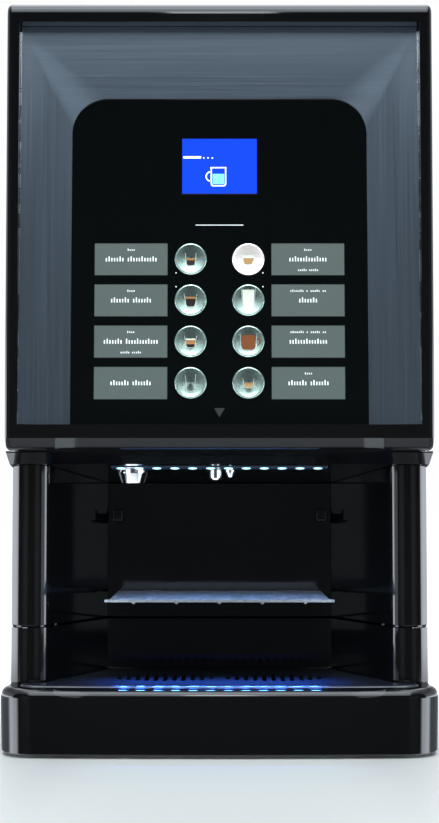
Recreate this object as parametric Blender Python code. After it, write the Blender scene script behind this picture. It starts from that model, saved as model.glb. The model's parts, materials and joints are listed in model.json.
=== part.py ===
"""Table-top hot coffee vending machine: a cabinet, a swinging door with the cup bay, and a drip drawer.

Frame: metres, +Z up, origin under the middle of the machine, on the surface that it stands on.
The front faces -Y, and +X is to the right of someone standing in front of it.
"""

from math import acos, asin, atan2, cos, degrees, hypot, pi, radians, sin

import bmesh
import bpy
from mathutils import Matrix, Vector

# ---- Driving dimensions ----
WIDTH = 0.410            # across the drip drawer's skirt
DEPTH = 0.550
HEIGHT = 0.705
GAP = 0.0003             # between pieces that touch
FRONT, REAR = -DEPTH / 2, DEPTH / 2

CABINET_X = 0.198        # half width of the cabinet
CABINET_FRONT = -0.096
CABINET_TOP = 0.6975
SHEET = 0.0015           # folded sheet metal
VENT_WIDTH = 0.005

DOOR_X = 0.200           # half width of the door
DOOR_FACE = -0.265
DOOR_BACK = -0.101
DOOR_BOTTOM = 0.1172
HINGE = Vector((-0.186, -0.112, DOOR_BOTTOM))
HINGE_PIN_RADIUS, HINGE_HOLE_RADIUS = 0.002, 0.0025

HEAD_BOTTOM = 0.282      # underside of the door's head
HEAD_CHIN = 0.2935       # where the front face meets the chin's slope
SHELL = 0.003

BAY_BACK = -0.113        # front face of the cup bay's back wall
BAY_HALF = 0.114         # half width of that wall
NOSE_X, NOSE_Y, NOSE_RADIUS = 0.180, -0.205, 0.020
CEILING_LOW = 0.253      # ceiling height at the back wall
CEILING_SLOPE = 0.1505   # rise per metre towards the front
CEILING_BREAK = -0.226   # where the ceiling turns up more steeply
CEILING_FRONT = -0.252

FASCIA_X = 0.188
FASCIA_BOTTOM, FASCIA_TOP = 0.3065, 0.685
FASCIA_RECESS = 0.0135   # how far the leaning fascia's top edge lies behind the door's face
PANEL_RECESS = 0.012     # how far the control panel lies behind the fascia's edges
PANEL_X, PANEL_LENGTH, PANEL_CORNER = 0.140, 0.3115, 0.034
PANEL_THICK = 0.003
LEAN = asin(FASCIA_RECESS / (FASCIA_TOP - FASCIA_BOTTOM))

BUTTON_X, BUTTON_PITCH, BUTTON_LOWEST = 0.0272, 0.0392, 0.0393
BUTTON_RADIUS = 0.01475
LABEL_X, LABEL_SIZE = 0.0835, (0.069, 0.0306)
DISPLAY_AT, DISPLAY_SIZE = 0.2465, (0.072, 0.054)

SKIRT_CORNER, SKIRT_BOW = 0.035, 0.004
SKIRT_BOTTOM, SKIRT_SHOULDER, RIM_TOP = 0.003, 0.0545, 0.063
DRAWER_TOP = 0.1148
TRAY_FLOOR = 0.024
GRILLE_BOTTOM, GRILLE_TOP = 0.0600, 0.0645
GRILLE_MARGIN = 0.0175   # from the skirt's outside to the grille's edge

SHELF_TOP, SHELF_X, SHELF_THICK = 0.1435, 0.1025, 0.0024
TONGUE_X, TONGUE_WIDTH, TONGUE_LENGTH = 0.070, 0.020, 0.0108
SHELF_FRONT, SHELF_BACK = -0.252, -0.118
LED_COUNT, LED_PITCH, LED_Y = 12, 0.01725, -0.207

FLOOR_LOW, FLOOR_HIGH = 0.008, 0.011    # base chassis plate
PANEL_FOOT = 0.0115      # lower edge of the cabinet's panels
BULKHEAD, BULKHEAD_REAR = 0.100, 0.102
DECK = 0.505             # top of the deck that carries hopper and canister
GRINDER = Vector((-0.097, 0.030))
CANISTER_X, AUGER_Z = 0.100, 0.532
MIXER, WHIPPER_Z = Vector((0.100, -0.052)), 0.385
BREWER_X, GEAR_Z = -0.095, 0.250
FAN_AT = Vector((0.110, 0.400))
INLET_AT, INLET_SIZE = Vector((0.120, 0.060)), (0.048, 0.028)
SWITCH_AT = Vector((0.165, 0.060))
VALVE_AT, SPIGOT_RADIUS = Vector((-0.120, 0.070)), 0.0102

for old in list(bpy.data.objects):
    bpy.data.objects.remove(old, do_unlink=True)


# ---- Materials ----
def material(name, colour, roughness, metallic=0.0):
    made = bpy.data.materials.new(name)
    made.use_nodes = True
    shader = made.node_tree.nodes["Principled BSDF"]
    shader.inputs["Base Color"].default_value = (*colour, 1.0)
    shader.inputs["Roughness"].default_value = roughness
    shader.inputs["Metallic"].default_value = metallic
    return made


GLOSS_BLACK = material("gloss_black", (0.004, 0.004, 0.005), 0.12)
MATT_BLACK = material("matt_black", (0.012, 0.012, 0.013), 0.55)
BRUSHED = material("brushed_steel", (0.35, 0.42, 0.48), 0.35, 1.0)
STAINLESS = material("stainless", (0.62, 0.63, 0.64), 0.22, 1.0)
CHROME = material("chrome", (0.80, 0.81, 0.83), 0.06, 1.0)
ZINC = material("zinc_sheet", (0.45, 0.46, 0.47), 0.45, 1.0)
DARK_SHEET = material("dark_sheet", (0.020, 0.021, 0.023), 0.5)
CLEAR_BROWN = material("smoked_plastic", (0.10, 0.07, 0.05), 0.15)
WHITE_PLASTIC = material("white_plastic", (0.75, 0.75, 0.73), 0.4)
BUTTON_METAL = material("button_metal", (0.42, 0.47, 0.45), 0.3, 1.0)
LABEL_GREEN = material("label_window", (0.09, 0.12, 0.115), 0.3)
SCREEN_BLUE = material("screen", (0.005, 0.045, 0.90), 0.1)
LED_WHITE = material("led_lens", (0.80, 0.95, 1.0), 0.2)
BOARD_GREEN = material("circuit_board", (0.01, 0.10, 0.03), 0.4)
RUBBER = material("rubber", (0.02, 0.02, 0.02), 0.8)
MOTOR_CAN = material("motor_can", (0.30, 0.30, 0.31), 0.35, 1.0)


# ---- Modelling helpers ----
def new_object(name, mesh, finish=None):
    made = bpy.data.objects.new(name, mesh)
    bpy.context.scene.collection.objects.link(made)
    if finish:
        mesh.materials.clear()
        mesh.materials.append(finish)
    return made


def from_bmesh(name, shape, finish=None):
    bmesh.ops.recalc_face_normals(shape, faces=shape.faces)
    mesh = bpy.data.meshes.new(name)
    shape.to_mesh(mesh)
    shape.free()
    return new_object(name, mesh, finish)


def loft(name, loops, finish=None, ring=False):
    """Skins closed loops of equal length. A ring joins the last to the first, else both ends are capped."""
    shape = bmesh.new()
    rows = [[shape.verts.new(point) for point in loop] for loop in loops]
    pairs = list(zip(rows, rows[1:] + rows[:1]))
    for low, high in pairs if ring else pairs[:-1]:
        for i in range(len(low)):
            j = (i + 1) % len(low)
            shape.faces.new((low[i], low[j], high[j], high[i]))
    if not ring:
        shape.faces.new(rows[0])
        shape.faces.new(rows[-1])
    bmesh.ops.remove_doubles(shape, verts=shape.verts, dist=1e-6)
    return from_bmesh(name, shape, finish)


def block(name, low, high, finish=None):
    (x0, y0, z0), (x1, y1, z1) = low, high
    plan = [(x0, y0), (x1, y0), (x1, y1), (x0, y1)]
    return loft(name, [[(x, y, z) for x, y in plan] for z in (z0, z1)], finish)


def prism(name, outline, low, high, finish=None, along="Z"):
    """Extrudes an outline. Along Z it holds (x, y), along Y it holds (x, z), and along X it holds (y, z)."""
    places = {"Z": lambda a, b, t: (a, b, t),
              "Y": lambda a, b, t: (a, t, b),
              "X": lambda a, b, t: (t, a, b)}
    place = places[along]
    return loft(name, [[place(a, b, t) for a, b in outline] for t in (low, high)], finish)


def circle(centre_a, centre_b, radius, steps):
    return [(centre_a + radius * cos(2 * pi * i / steps), centre_b + radius * sin(2 * pi * i / steps))
            for i in range(steps)]


def arc(centre_a, centre_b, radius, start, end, steps):
    """Points from the start angle to the end angle, in degrees, both ends included."""
    angles = [radians(start + (end - start) * i / steps) for i in range(steps + 1)]
    return [(centre_a + radius * cos(a), centre_b + radius * sin(a)) for a in angles]


def rectangle(centre_a, centre_b, size_a, size_b):
    a, b = size_a / 2, size_b / 2
    return [(centre_a - a, centre_b - b), (centre_a + a, centre_b - b),
            (centre_a + a, centre_b + b), (centre_a - a, centre_b + b)]


def slot(centre_a, centre_b, length, width, steps=4):
    """A round-ended slot along the first direction."""
    reach, radius = (length - width) / 2, width / 2
    return (arc(centre_a + reach, centre_b, radius, -90, 90, steps)
            + arc(centre_a - reach, centre_b, radius, 90, 270, steps))


def turned(name, profile, centre, finish=None, along="Z", steps=24, ring=False):
    """Turns (radius, height) points about an axis through the centre. A ring profile leaves a bore."""
    turns = {"Z": Matrix(), "Y": Matrix.Rotation(-pi / 2, 4, "X"), "X": Matrix.Rotation(pi / 2, 4, "Y")}
    place = Matrix.Translation(centre) @ turns[along]
    loops = [[place @ Vector((x, y, height)) for x, y in circle(0, 0, radius, steps)]
             for radius, height in profile]
    return loft(name, loops, finish, ring)


def placed(made, matrix):
    made.data.transform(matrix)
    return made


def pivoted(made, point):
    """Moves the object's origin to the point and leaves its shape where it is."""
    made.data.transform(Matrix.Translation(-point))
    made.location = point
    return made


def combine(base, operation, pieces):
    """Runs one exact Boolean for each piece, keeps the result as the base's mesh and removes the pieces."""
    for piece in pieces:
        modifier = base.modifiers.new("shape", "BOOLEAN")
        modifier.operation = operation
        modifier.solver = "EXACT"
        modifier.object = piece
    bpy.context.view_layer.update()
    graph = bpy.context.evaluated_depsgraph_get()
    mesh = bpy.data.meshes.new_from_object(base.evaluated_get(graph))
    base.modifiers.clear()
    finish = base.data.materials[0] if base.data.materials else None
    base.data = mesh
    mesh.materials.clear()
    if finish:
        mesh.materials.append(finish)
    for piece in pieces:
        bpy.data.objects.remove(piece, do_unlink=True)
    return base


def cut(base, *pieces):
    return combine(base, "DIFFERENCE", pieces)


def fuse(base, *pieces):
    return combine(base, "UNION", pieces)


def cluster(name, pieces):
    """Joins cutters or bosses that don't touch each other into one object, for a single Boolean."""
    shape = bmesh.new()
    for piece in pieces:
        shape.from_mesh(piece.data)
        bpy.data.objects.remove(piece, do_unlink=True)
    return from_bmesh(name, shape)


def bevelled(made, width, segments=2, angle=40):
    modifier = made.modifiers.new("edges", "BEVEL")
    modifier.width = width
    modifier.segments = segments
    modifier.limit_method = "ANGLE"
    modifier.angle_limit = radians(angle)
    return combine(made, "UNION", [])


def rounded(made, angle=35):
    made.data.shade_smooth()
    made.data.set_sharp_from_angle(angle=radians(angle))
    return made


def mirrored_x(points):
    return [(-x, y) for x, y in reversed(points)]


def sided(plan, side):
    """A plan that is drawn for the right-hand side, or its mirror image where the side is -1."""
    return plan if side > 0 else mirrored_x(plan)


def ceiling_height(y):
    return CEILING_LOW + CEILING_SLOPE * (BAY_BACK - y)


PANEL_FRAME = (Matrix.Translation((0, DOOR_FACE + 0.0005 + PANEL_RECESS, FASCIA_BOTTOM))
               @ Matrix.Rotation(-LEAN, 4, "X"))
CEILING_TILT = Matrix.Rotation(-asin(CEILING_SLOPE / (1 + CEILING_SLOPE ** 2) ** 0.5), 4, "X")


# ---- Drip drawer ----
def skirt_outline(inset):
    """The drawer's plan: a bowed front, round front corners and straight sides, all moved in by the inset."""
    corner_x, corner_y = WIDTH / 2 - SKIRT_CORNER, FRONT + SKIRT_BOW + SKIRT_CORNER
    steps = 8
    bow = []
    for i in range(1, 2 * steps):
        x = corner_x * (i / steps - 1)
        bow.append((x, FRONT + inset + SKIRT_BOW * (x / corner_x) ** 2))
    right = arc(corner_x, corner_y, SKIRT_CORNER - inset, -90, 0, 6)
    left = mirrored_x(right)
    side = WIDTH / 2 - inset
    return left + bow + right + [(side, DOOR_BACK), (-side, DOOR_BACK)]


def column_plan(outer_x, wall=0.0):
    """The right-hand column seen from above. A wall thickness gives the hollow in it, open at the rear."""
    back_x, back_y = BAY_HALF - NOSE_X, BAY_BACK - NOSE_Y
    tangent = degrees(atan2(back_y, back_x) + acos(NOSE_RADIUS / hypot(back_x, back_y)))
    nose = arc(NOSE_X, NOSE_Y, NOSE_RADIUS - wall, tangent, 360, 12)
    nose[-1] = (outer_x - wall, NOSE_Y)
    if wall:
        rear = DOOR_BACK + 0.01
        return nose + [(outer_x - wall, rear), (BAY_HALF + wall, rear), (BAY_HALF + wall, BAY_BACK - 0.001)]
    chamfer = 0.006
    return nose + [(outer_x, DOOR_BACK - chamfer), (outer_x - chamfer, DOOR_BACK),
                   (BAY_HALF, DOOR_BACK), (BAY_HALF, BAY_BACK)]


def grille_plan(inset):
    """Wide in front of the columns' noses, narrow between them."""
    nose_front = NOSE_Y - NOSE_RADIUS - inset
    corner_x, corner_y = WIDTH / 2 - SKIRT_CORNER, FRONT + SKIRT_BOW + SKIRT_CORNER
    front = FRONT + GRILLE_MARGIN + inset
    right = arc(corner_x, corner_y, SKIRT_CORNER - GRILLE_MARGIN - inset, -90, -10, 4)
    right += [(0.184 - inset, nose_front - 0.006),
              (NOSE_X - 0.012 - inset, nose_front - 0.005),
              (NOSE_X - NOSE_RADIUS - 0.003 - inset, NOSE_Y),
              (BAY_HALF - 0.003 - inset, BAY_BACK - 0.002 - inset)]
    bow = [(corner_x * i / 4, front + SKIRT_BOW * (i / 4) ** 2) for i in range(-3, 4)]
    return bow + right + mirrored_x(right)


def make_drawer():
    """The skirt with its rim, the lower columns, the bay's lower wall, and the sled behind them."""
    draft, radius = 0.0012, RIM_TOP - SKIRT_SHOULDER
    rings = [(SKIRT_BOTTOM, draft), (SKIRT_SHOULDER, 0.0)]
    for angle in (radians(22), radians(45), radians(67), radians(90)):
        rings.append((SKIRT_SHOULDER + radius * sin(angle), radius * (1 - cos(angle))))
    skirt = [[(x, y, z) for x, y in skirt_outline(inset)] for z, inset in rings]
    drawer = loft("drip_drawer", skirt, GLOSS_BLACK)
    outer_x, foot = DOOR_X + 0.0006, RIM_TOP - 0.004
    half = BAY_HALF + 0.002
    walls = [block("wall", (-half, BAY_BACK, foot), (half, BAY_BACK + SHELL, DRAWER_TOP))]
    for side in (1, -1):
        column = prism("column", sided(column_plan(outer_x), side), foot, DRAWER_TOP)
        hollow = sided(column_plan(outer_x, SHELL), side)
        walls.append(cut(column, prism("hollow", hollow, RIM_TOP - 0.001, DRAWER_TOP - SHELL)))
    sled_x, sled_front, sled_back, sled_low = 0.150, DOOR_BACK - 0.010, 0.060, 0.0125
    sled = block("sled", (-sled_x, sled_front, sled_low), (sled_x, sled_back, sled_low + SHELL))
    runners = [block("runner", (side * (sled_x - 0.002) - 0.002, sled_front, sled_low + 0.0005),
                     (side * (sled_x - 0.002) + 0.002, sled_back, 0.030)) for side in (-1, 1)]
    drawer = fuse(drawer, *walls, sled, *runners)
    under = block("under", (-0.176, -0.242, -0.01), (0.176, -0.09, sled_low - GAP))
    seat = prism("seat", grille_plan(-0.0006), GRILLE_BOTTOM - GAP, 0.08)
    basin = prism("basin", grille_plan(0.006), TRAY_FLOOR, 0.08)
    return rounded(cut(drawer, under, seat, basin))


def make_tray_grille():
    """A lift-out plate with two eye-shaped fields of drain slots."""
    grille = prism("tray_grille", grille_plan(0.0002), GRILLE_BOTTOM, GRILLE_TOP, MATT_BLACK)
    grille = bevelled(grille, 0.0008, 1)
    longest, width, pitch, middle_y, half_count = 0.058, 0.0042, 0.0088, -0.190, 6.2
    slots = []
    for field in (-0.052, 0.052):
        for i in range(-5, 6):
            length = longest * (1 - (i / half_count) ** 2) ** 0.5
            outline = [(x, y) for y, x in slot(middle_y, field + i * pitch, length, width, 2)]
            slots.append(prism("slot", outline[::-1], 0.05, 0.07))
    return cut(grille, cluster("slots", slots))


def make_grounds_bin():
    """An open-topped box for spent coffee, with drafted walls."""
    def ring(grow, z, wall):
        x, front, back = 0.136 + grow - wall, DOOR_BACK + 0.0006 + wall, 0.050 + grow - wall
        return [(-x, front, z), (x, front, z), (x, back, z), (-x, back, z)]
    low, high, wall = 0.016, 0.110, 0.002
    loops = [ring(0, low, 0), ring(0.006, high, 0), ring(0.006, high, wall), ring(0, low + wall, wall)]
    return loft("grounds_bin", loops, MATT_BLACK)


# ---- Door ----
def make_door_frame():
    """The head's shell: front bezel, top, sides and chin, open at the rear."""
    top_round = arc(DOOR_FACE + 0.012, HEIGHT - 0.012, 0.012, 180, 90, 4)
    profile = [(DOOR_BACK, HEAD_BOTTOM), (DOOR_FACE + 0.010, HEAD_BOTTOM), (DOOR_FACE, HEAD_CHIN),
               *top_round, (DOOR_BACK, HEIGHT)]
    frame = prism("door_frame", profile, -DOOR_X, DOOR_X, GLOSS_BLACK, along="X")
    frame = bevelled(frame, 0.005, 3)
    inside = block("inside", (-DOOR_X + SHELL, -0.249, HEAD_BOTTOM + SHELL),
                   (DOOR_X - SHELL, DOOR_BACK + 0.01, HEIGHT - SHELL))
    window = block("window", (-FASCIA_X - GAP, -0.30, FASCIA_BOTTOM - GAP),
                   (FASCIA_X + GAP, -0.20, FASCIA_TOP + GAP))
    floor_gap = block("floor_gap", (-0.112, -0.235, 0.20), (0.112, DOOR_BACK + 0.01, 0.30))
    frame = cut(frame, inside, window, floor_gap)
    lug = block("lug", (-DOOR_X + 0.001, HINGE.y - 0.012, 0.664), (HINGE.x + 0.010, HINGE.y + 0.008, 0.674))
    frame = fuse(frame, lug)
    pin_hole = prism("pin_hole", circle(HINGE.x, HINGE.y, HINGE_HOLE_RADIUS, 16), 0.66, 0.68)
    arm_notch = block("arm_notch", (-0.21, HINGE.y - 0.016, 0.6755), (-0.196, DOOR_BACK + 0.01, 0.6845))
    lock_hole = prism("lock_hole", circle(-0.150, 0.500, 0.0083, 20), 0.19, 0.21, along="X")
    return rounded(cut(frame, pin_hole, arm_notch, hinge_corner(), lock_hole))


def make_door_liner():
    """The sheet that closes the head's rear, with air slots above the boards."""
    liner = block("door_liner", (-0.168, DOOR_BACK - 0.0035, HEAD_BOTTOM + 0.008),
                  (DOOR_X - SHELL - 0.0005, DOOR_BACK - 0.0015, HEIGHT - SHELL - 0.001), DARK_SHEET)
    outlines = [slot(0.02, 0.600 + 0.012 * i, 0.20, VENT_WIDTH) for i in range(6)]
    return cut(liner, cluster("slots", [prism("slot", outline, -0.2, 0, along="Y") for outline in outlines]))


def fascia_edges():
    """Matching points (x, height) on the fascia's outer edge and on its edge round the panel."""
    top = FASCIA_TOP - FASCIA_BOTTOM
    bend_x, bend_z = PANEL_X - PANEL_CORNER, PANEL_LENGTH - PANEL_CORNER
    corner = arc(bend_x, bend_z, PANEL_CORNER, 0, 90, 8)
    # Both run from the bottom left to the bottom right.
    right_inner = [(PANEL_X, 0.0), *corner]
    right_outer = [(FASCIA_X, 0.0)] + [(FASCIA_X, top)] * len(corner)
    outer = [(-x, z) for x, z in right_outer] + right_outer[::-1]
    inner = [(-x, z) for x, z in right_inner] + right_inner[::-1]
    return outer, inner


def make_fascia():
    """Three brushed facets that fall from the bezel to the panel, with cone-shaped corners."""
    outer, inner = fascia_edges()
    lean = FASCIA_RECESS / (FASCIA_TOP - FASCIA_BOTTOM)

    def point(x, z, depth):
        return Vector((x, DOOR_FACE + 0.0005 + lean * z + depth, FASCIA_BOTTOM + z))
    thick = 0.0025
    sections = []
    for (outer_x, outer_z), (inner_x, inner_z) in zip(outer, inner):
        front = [point(outer_x, outer_z, 0), point(inner_x, inner_z, PANEL_RECESS)]
        rear = [point(inner_x, inner_z, PANEL_RECESS + thick), point(outer_x, outer_z, thick)]
        sections.append(front + rear)
    shape = bmesh.new()
    rows = [[shape.verts.new(p) for p in section] for section in sections]
    for low, high in zip(rows, rows[1:]):
        for i in range(4):
            j = (i + 1) % 4
            shape.faces.new((low[i], low[j], high[j], high[i]))
    shape.faces.new(rows[0])
    shape.faces.new(rows[-1])
    bmesh.ops.remove_doubles(shape, verts=shape.verts, dist=1e-6)
    bmesh.ops.triangulate(shape, faces=shape.faces)
    return from_bmesh("fascia", shape, BRUSHED)


def button_places():
    """(number, x, height on the panel), numbered down the left column, then down the right one."""
    return [(column * 4 + row + 1, BUTTON_X * (2 * column - 1), BUTTON_LOWEST + BUTTON_PITCH * (3 - row))
            for column in (0, 1) for row in range(4)]


def label_places():
    return [(LABEL_X * side, BUTTON_LOWEST + BUTTON_PITCH * row) for side in (-1, 1) for row in range(4)]


def make_control_panel():
    edge = fascia_edges()[1]
    gap = 0.0004
    outline = [(x * (1 - gap / PANEL_X), max(z - gap, 0.0)) for x, z in edge]
    panel = prism("control_panel", outline, 0, PANEL_THICK, GLOSS_BLACK, along="Y")
    holes = [prism("hole", circle(x, z, BUTTON_RADIUS + gap, 24), -0.01, 0.01, along="Y")
             for _, x, z in button_places()]
    holes += [prism("hole", rectangle(x, z, *LABEL_SIZE), -0.01, 0.01, along="Y") for x, z in label_places()]
    holes.append(prism("hole", rectangle(0, DISPLAY_AT, *DISPLAY_SIZE), -0.01, 0.01, along="Y"))
    return placed(cut(panel, cluster("holes", holes)), PANEL_FRAME)


def make_label_diffuser():
    """The light guide behind the panel. Its pads fill the label windows, and the buttons pass through it."""
    middle, back = BUTTON_LOWEST + 1.5 * BUTTON_PITCH, 0.0046
    width, height = LABEL_SIZE[0] - 2 * GAP, LABEL_SIZE[1] - 2 * GAP
    outline = rectangle(0, middle, 0.244, 0.155)
    plate = prism("label_diffuser", outline, PANEL_THICK + GAP, back, LABEL_GREEN, along="Y")
    pads = [prism("pad", rectangle(x, z, width, height), 0.0004, back - 0.0001, along="Y")
            for x, z in label_places()]
    holes = [prism("hole", circle(x, z, 0.0182, 20), 0, 0.01, along="Y") for _, x, z in button_places()]
    return placed(cut(fuse(plate, cluster("pads", pads)), cluster("holes", holes)), PANEL_FRAME)


def make_display():
    width, height = DISPLAY_SIZE
    screen = prism("display", rectangle(0, DISPLAY_AT, width - 0.0008, height - 0.0008), 0.0006, 0.011,
                   SCREEN_BLUE, along="Y")
    return placed(bevelled(screen, 0.0004, 1), PANEL_FRAME)


def make_keypad_board():
    middle = BUTTON_LOWEST + 1.5 * BUTTON_PITCH
    board = prism("keypad_board", rectangle(0, middle, 0.230, 0.150), 0.0085, 0.0101, BOARD_GREEN, "Y")
    return placed(board, PANEL_FRAME)


def make_buttons():
    """Dished metal caps, each with a collar behind the panel and a stem that works the switch."""
    radius, collar, stem = BUTTON_RADIUS, BUTTON_RADIUS + 0.0025, 0.005
    collar_front, collar_back, stem_end = PANEL_THICK + GAP, 0.0045, 0.0062
    dish = [(0.004, -0.0002), (0.009, -0.0006), (radius - 0.0012, -0.0019), (radius, -0.0014)]
    profile = [*dish, (radius, collar_front), (collar, collar_front), (collar, collar_back),
               (stem, collar_back), (stem, stem_end)]
    made = []
    for number, x, z in button_places():
        # Height runs into the door here, so the profile is turned about +Y at the button's own origin.
        cap = turned(f"button_{number}", profile, Vector(), BUTTON_METAL, along="Y", steps=20)
        cap.data.transform(Matrix.Rotation(-LEAN, 4, "X"))
        cap.location = PANEL_FRAME @ Vector((x, 0, z))
        made.append(rounded(cap))
    return made


def hinge_corner():
    """Cutter for the rear left edge of the door, which would strike the cabinet as the door swings."""
    chamfer, clear = 0.0065, 0.010
    side, rear = -DOOR_X - clear, DOOR_BACK + clear
    outline = [(side, DOOR_BACK - chamfer - clear), (chamfer - DOOR_X + clear, rear), (side, rear)]
    return prism("corner", outline, HEAD_BOTTOM - 0.1, HEIGHT + 0.1)


def make_bay_sides():
    """The bay's side walls, each rounded into a hollow column in front and cut to the ceiling's slope."""
    sides = []
    for name, side in (("bay_side_right", 1), ("bay_side_left", -1)):
        plan, hollow = sided(column_plan(DOOR_X), side), sided(column_plan(DOOR_X, SHELL), side)
        body = loft(name, [[(x, y, DOOR_BOTTOM) for x, y in plan],
                           [(x, y, ceiling_height(y) - GAP) for x, y in plan]], GLOSS_BLACK)
        core = loft("core", [[(x, y, DOOR_BOTTOM + SHELL) for x, y in hollow],
                             [(x, y, ceiling_height(y) - GAP - SHELL) for x, y in hollow]])
        body = cut(body, core)
        if side < 0:
            body = cut(body, prism("pin_hole", circle(HINGE.x, HINGE.y, HINGE_HOLE_RADIUS, 16), 0.11, 0.125))
        sides.append(rounded(body, 20))
    return sides


def make_bay_back_wall():
    """The wall behind the cup, with two J-shaped hooks and two slots for the shelf's tongues."""
    half, top = BAY_HALF - GAP, CEILING_LOW - 0.0008
    wall = block("bay_back_wall", (-half, BAY_BACK, DOOR_BOTTOM), (half, BAY_BACK + SHELL, top), GLOSS_BLACK)
    root, inside, tip = BAY_BACK + 0.001, BAY_BACK - 0.009, BAY_BACK - 0.0115
    hook = [(root, 0.2215), (inside, 0.2215), (inside, 0.2255), (tip, 0.2255), (tip, 0.2130), (root, 0.2105)]
    hooks = []
    for x in (-0.1035, 0.1035):
        hooks.append(prism("hook", hook, x - 0.005, x + 0.005, along="X"))
    width, low, high = TONGUE_WIDTH + 0.003, SHELF_TOP - SHELF_THICK - 2 * GAP, SHELF_TOP + 2 * GAP
    slots = [block("slot", (side * TONGUE_X - width / 2, BAY_BACK - 0.01, low),
                   (side * TONGUE_X + width / 2, BAY_BACK + 0.01, high)) for side in (-1, 1)]
    return cut(fuse(wall, cluster("hooks", hooks)), cluster("slots", slots))


def led_places():
    return [LED_PITCH * (i - (LED_COUNT - 1) / 2) for i in range(LED_COUNT)]


def led_frame():
    """The lamp bar's own frame: its face lies in the ceiling's slope."""
    return Matrix.Translation((0, LED_Y, ceiling_height(LED_Y))) @ CEILING_TILT


# The outlets over the cup: centre, bore radius, and outer profile (radius, height) from the tip up.
NOZZLES = {
    "hot_water_nozzle": (
        Vector((-0.085, -0.181)), 0.0055,
        ((0.01185, 0.252), (0.01525, 0.263), (0.01525, 0.2710), (0.0168, 0.2710), (0.0168, 0.2730),
         (0.010, 0.2730), (0.010, 0.290))),
    "coffee_spout": (
        Vector((-0.004, -0.185)), 0.0035,
        ((0.0050, 0.2555), (0.0065, 0.2590), (0.0065, 0.2695), (0.0080, 0.2695), (0.0080, 0.2712),
         (0.0065, 0.2712), (0.0065, 0.290))),
    "milk_spout": (
        Vector((0.0105, -0.185)), 0.0014,
        ((0.0025, 0.258), (0.0060, 0.2665), (0.0060, 0.2740), (0.0072, 0.2740), (0.0072, 0.2755),
         (0.0055, 0.2755), (0.0055, 0.290))),
}


def make_nozzles():
    made = []
    for name, (centre, bore, profile) in NOZZLES.items():
        heights = (profile[-1][1], profile[0][1])
        shape = [*profile, *((bore, z) for z in heights)]
        made.append(rounded(turned(name, shape, Vector((*centre, 0)), CHROME, steps=20, ring=True)))
    return made


def make_bay_ceiling():
    """A sloping shell that closes the bay's top, with holes for the nozzles and a groove for the lamps."""
    top, thick = HEAD_BOTTOM - GAP, 0.004
    under = [(DOOR_BACK, ceiling_height(DOOR_BACK)), (CEILING_BREAK, ceiling_height(CEILING_BREAK)),
             (CEILING_FRONT, top - 0.0015)]
    profile = [*under, (CEILING_FRONT, top), (DOOR_BACK, top)]
    ceiling = prism("bay_ceiling", profile, GAP - DOOR_X, DOOR_X - GAP, GLOSS_BLACK, along="X")
    lifted = [(DOOR_BACK - thick, ceiling_height(DOOR_BACK) + thick),
              (CEILING_BREAK, ceiling_height(CEILING_BREAK) + thick), (CEILING_BREAK, 0.30),
              (DOOR_BACK - thick, 0.30)]
    pocket = prism("pocket", lifted, 0.003 - DOOR_X, DOOR_X - 0.003, along="X")
    groove = block("groove", (-0.1043, -0.0068, -0.004), (0.1043, 0.0068, 0.0024))
    placed(groove, led_frame())
    holes = []
    for centre, _, outline in NOZZLES.values():
        widest = max(radius for radius, height in outline if height < 0.2690)
        holes.append(prism("hole", circle(*centre, widest + 0.0004, 24), 0.2, 0.3))
    return cut(ceiling, pocket, groove, cluster("holes", holes), hinge_corner())


def make_led_bar():
    bar = block("led_bar", (-0.104, -0.0065, -0.0008), (0.104, 0.0065, 0.0020), LED_WHITE)
    lenses = [prism("lens", circle(x, 0, 0.006, 12), -0.0024, 0.0005) for x in led_places()]
    return placed(fuse(bar, cluster("lenses", lenses)), led_frame())


def make_cup_shelf():
    """A lift-out metal plate with a tip at each front corner, held by two tongues in the bay's back wall."""
    low, tip, taper = SHELF_TOP - SHELF_THICK, 0.0045, 0.007
    right = [(SHELF_X + tip, SHELF_FRONT), (SHELF_X, SHELF_FRONT + taper), (SHELF_X, SHELF_BACK)]
    plate = prism("cup_shelf", right + mirrored_x(right), low, SHELF_TOP, STAINLESS)
    tongues = [block("tongue", (side * TONGUE_X - TONGUE_WIDTH / 2, SHELF_BACK - 0.001, low),
                     (side * TONGUE_X + TONGUE_WIDTH / 2, SHELF_BACK + TONGUE_LENGTH, SHELF_TOP))
               for side in (-1, 1)]
    beads = [prism("bead", circle(x, low, 0.0017, 12), SHELF_FRONT + GAP, SHELF_FRONT + 0.005, along="Y")
             for x in (-0.080, -0.040, 0.0, 0.040, 0.080)]
    return fuse(plate, *tongues, cluster("beads", beads))


def make_door_lock():
    """A key barrel in the door's right side, with the cam that it turns; its origin is on its axis."""
    profile = [(0.0078, -0.021), (0.0078, 0.0004), (0.0095, 0.0004), (0.0095, 0.0016)]
    barrel = turned("door_lock", profile, Vector(), CHROME, along="X", steps=20)
    cam = block("cam", (-0.0205, -0.008, -0.008), (-0.0178, 0.030, 0.008))
    key = block("key", (0.0008, -0.0009, -0.0045), (0.01, 0.0009, 0.0045))
    lock = cut(fuse(barrel, cam), key)
    lock.location = (DOOR_X, -0.150, 0.500)
    return rounded(lock)


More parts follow.
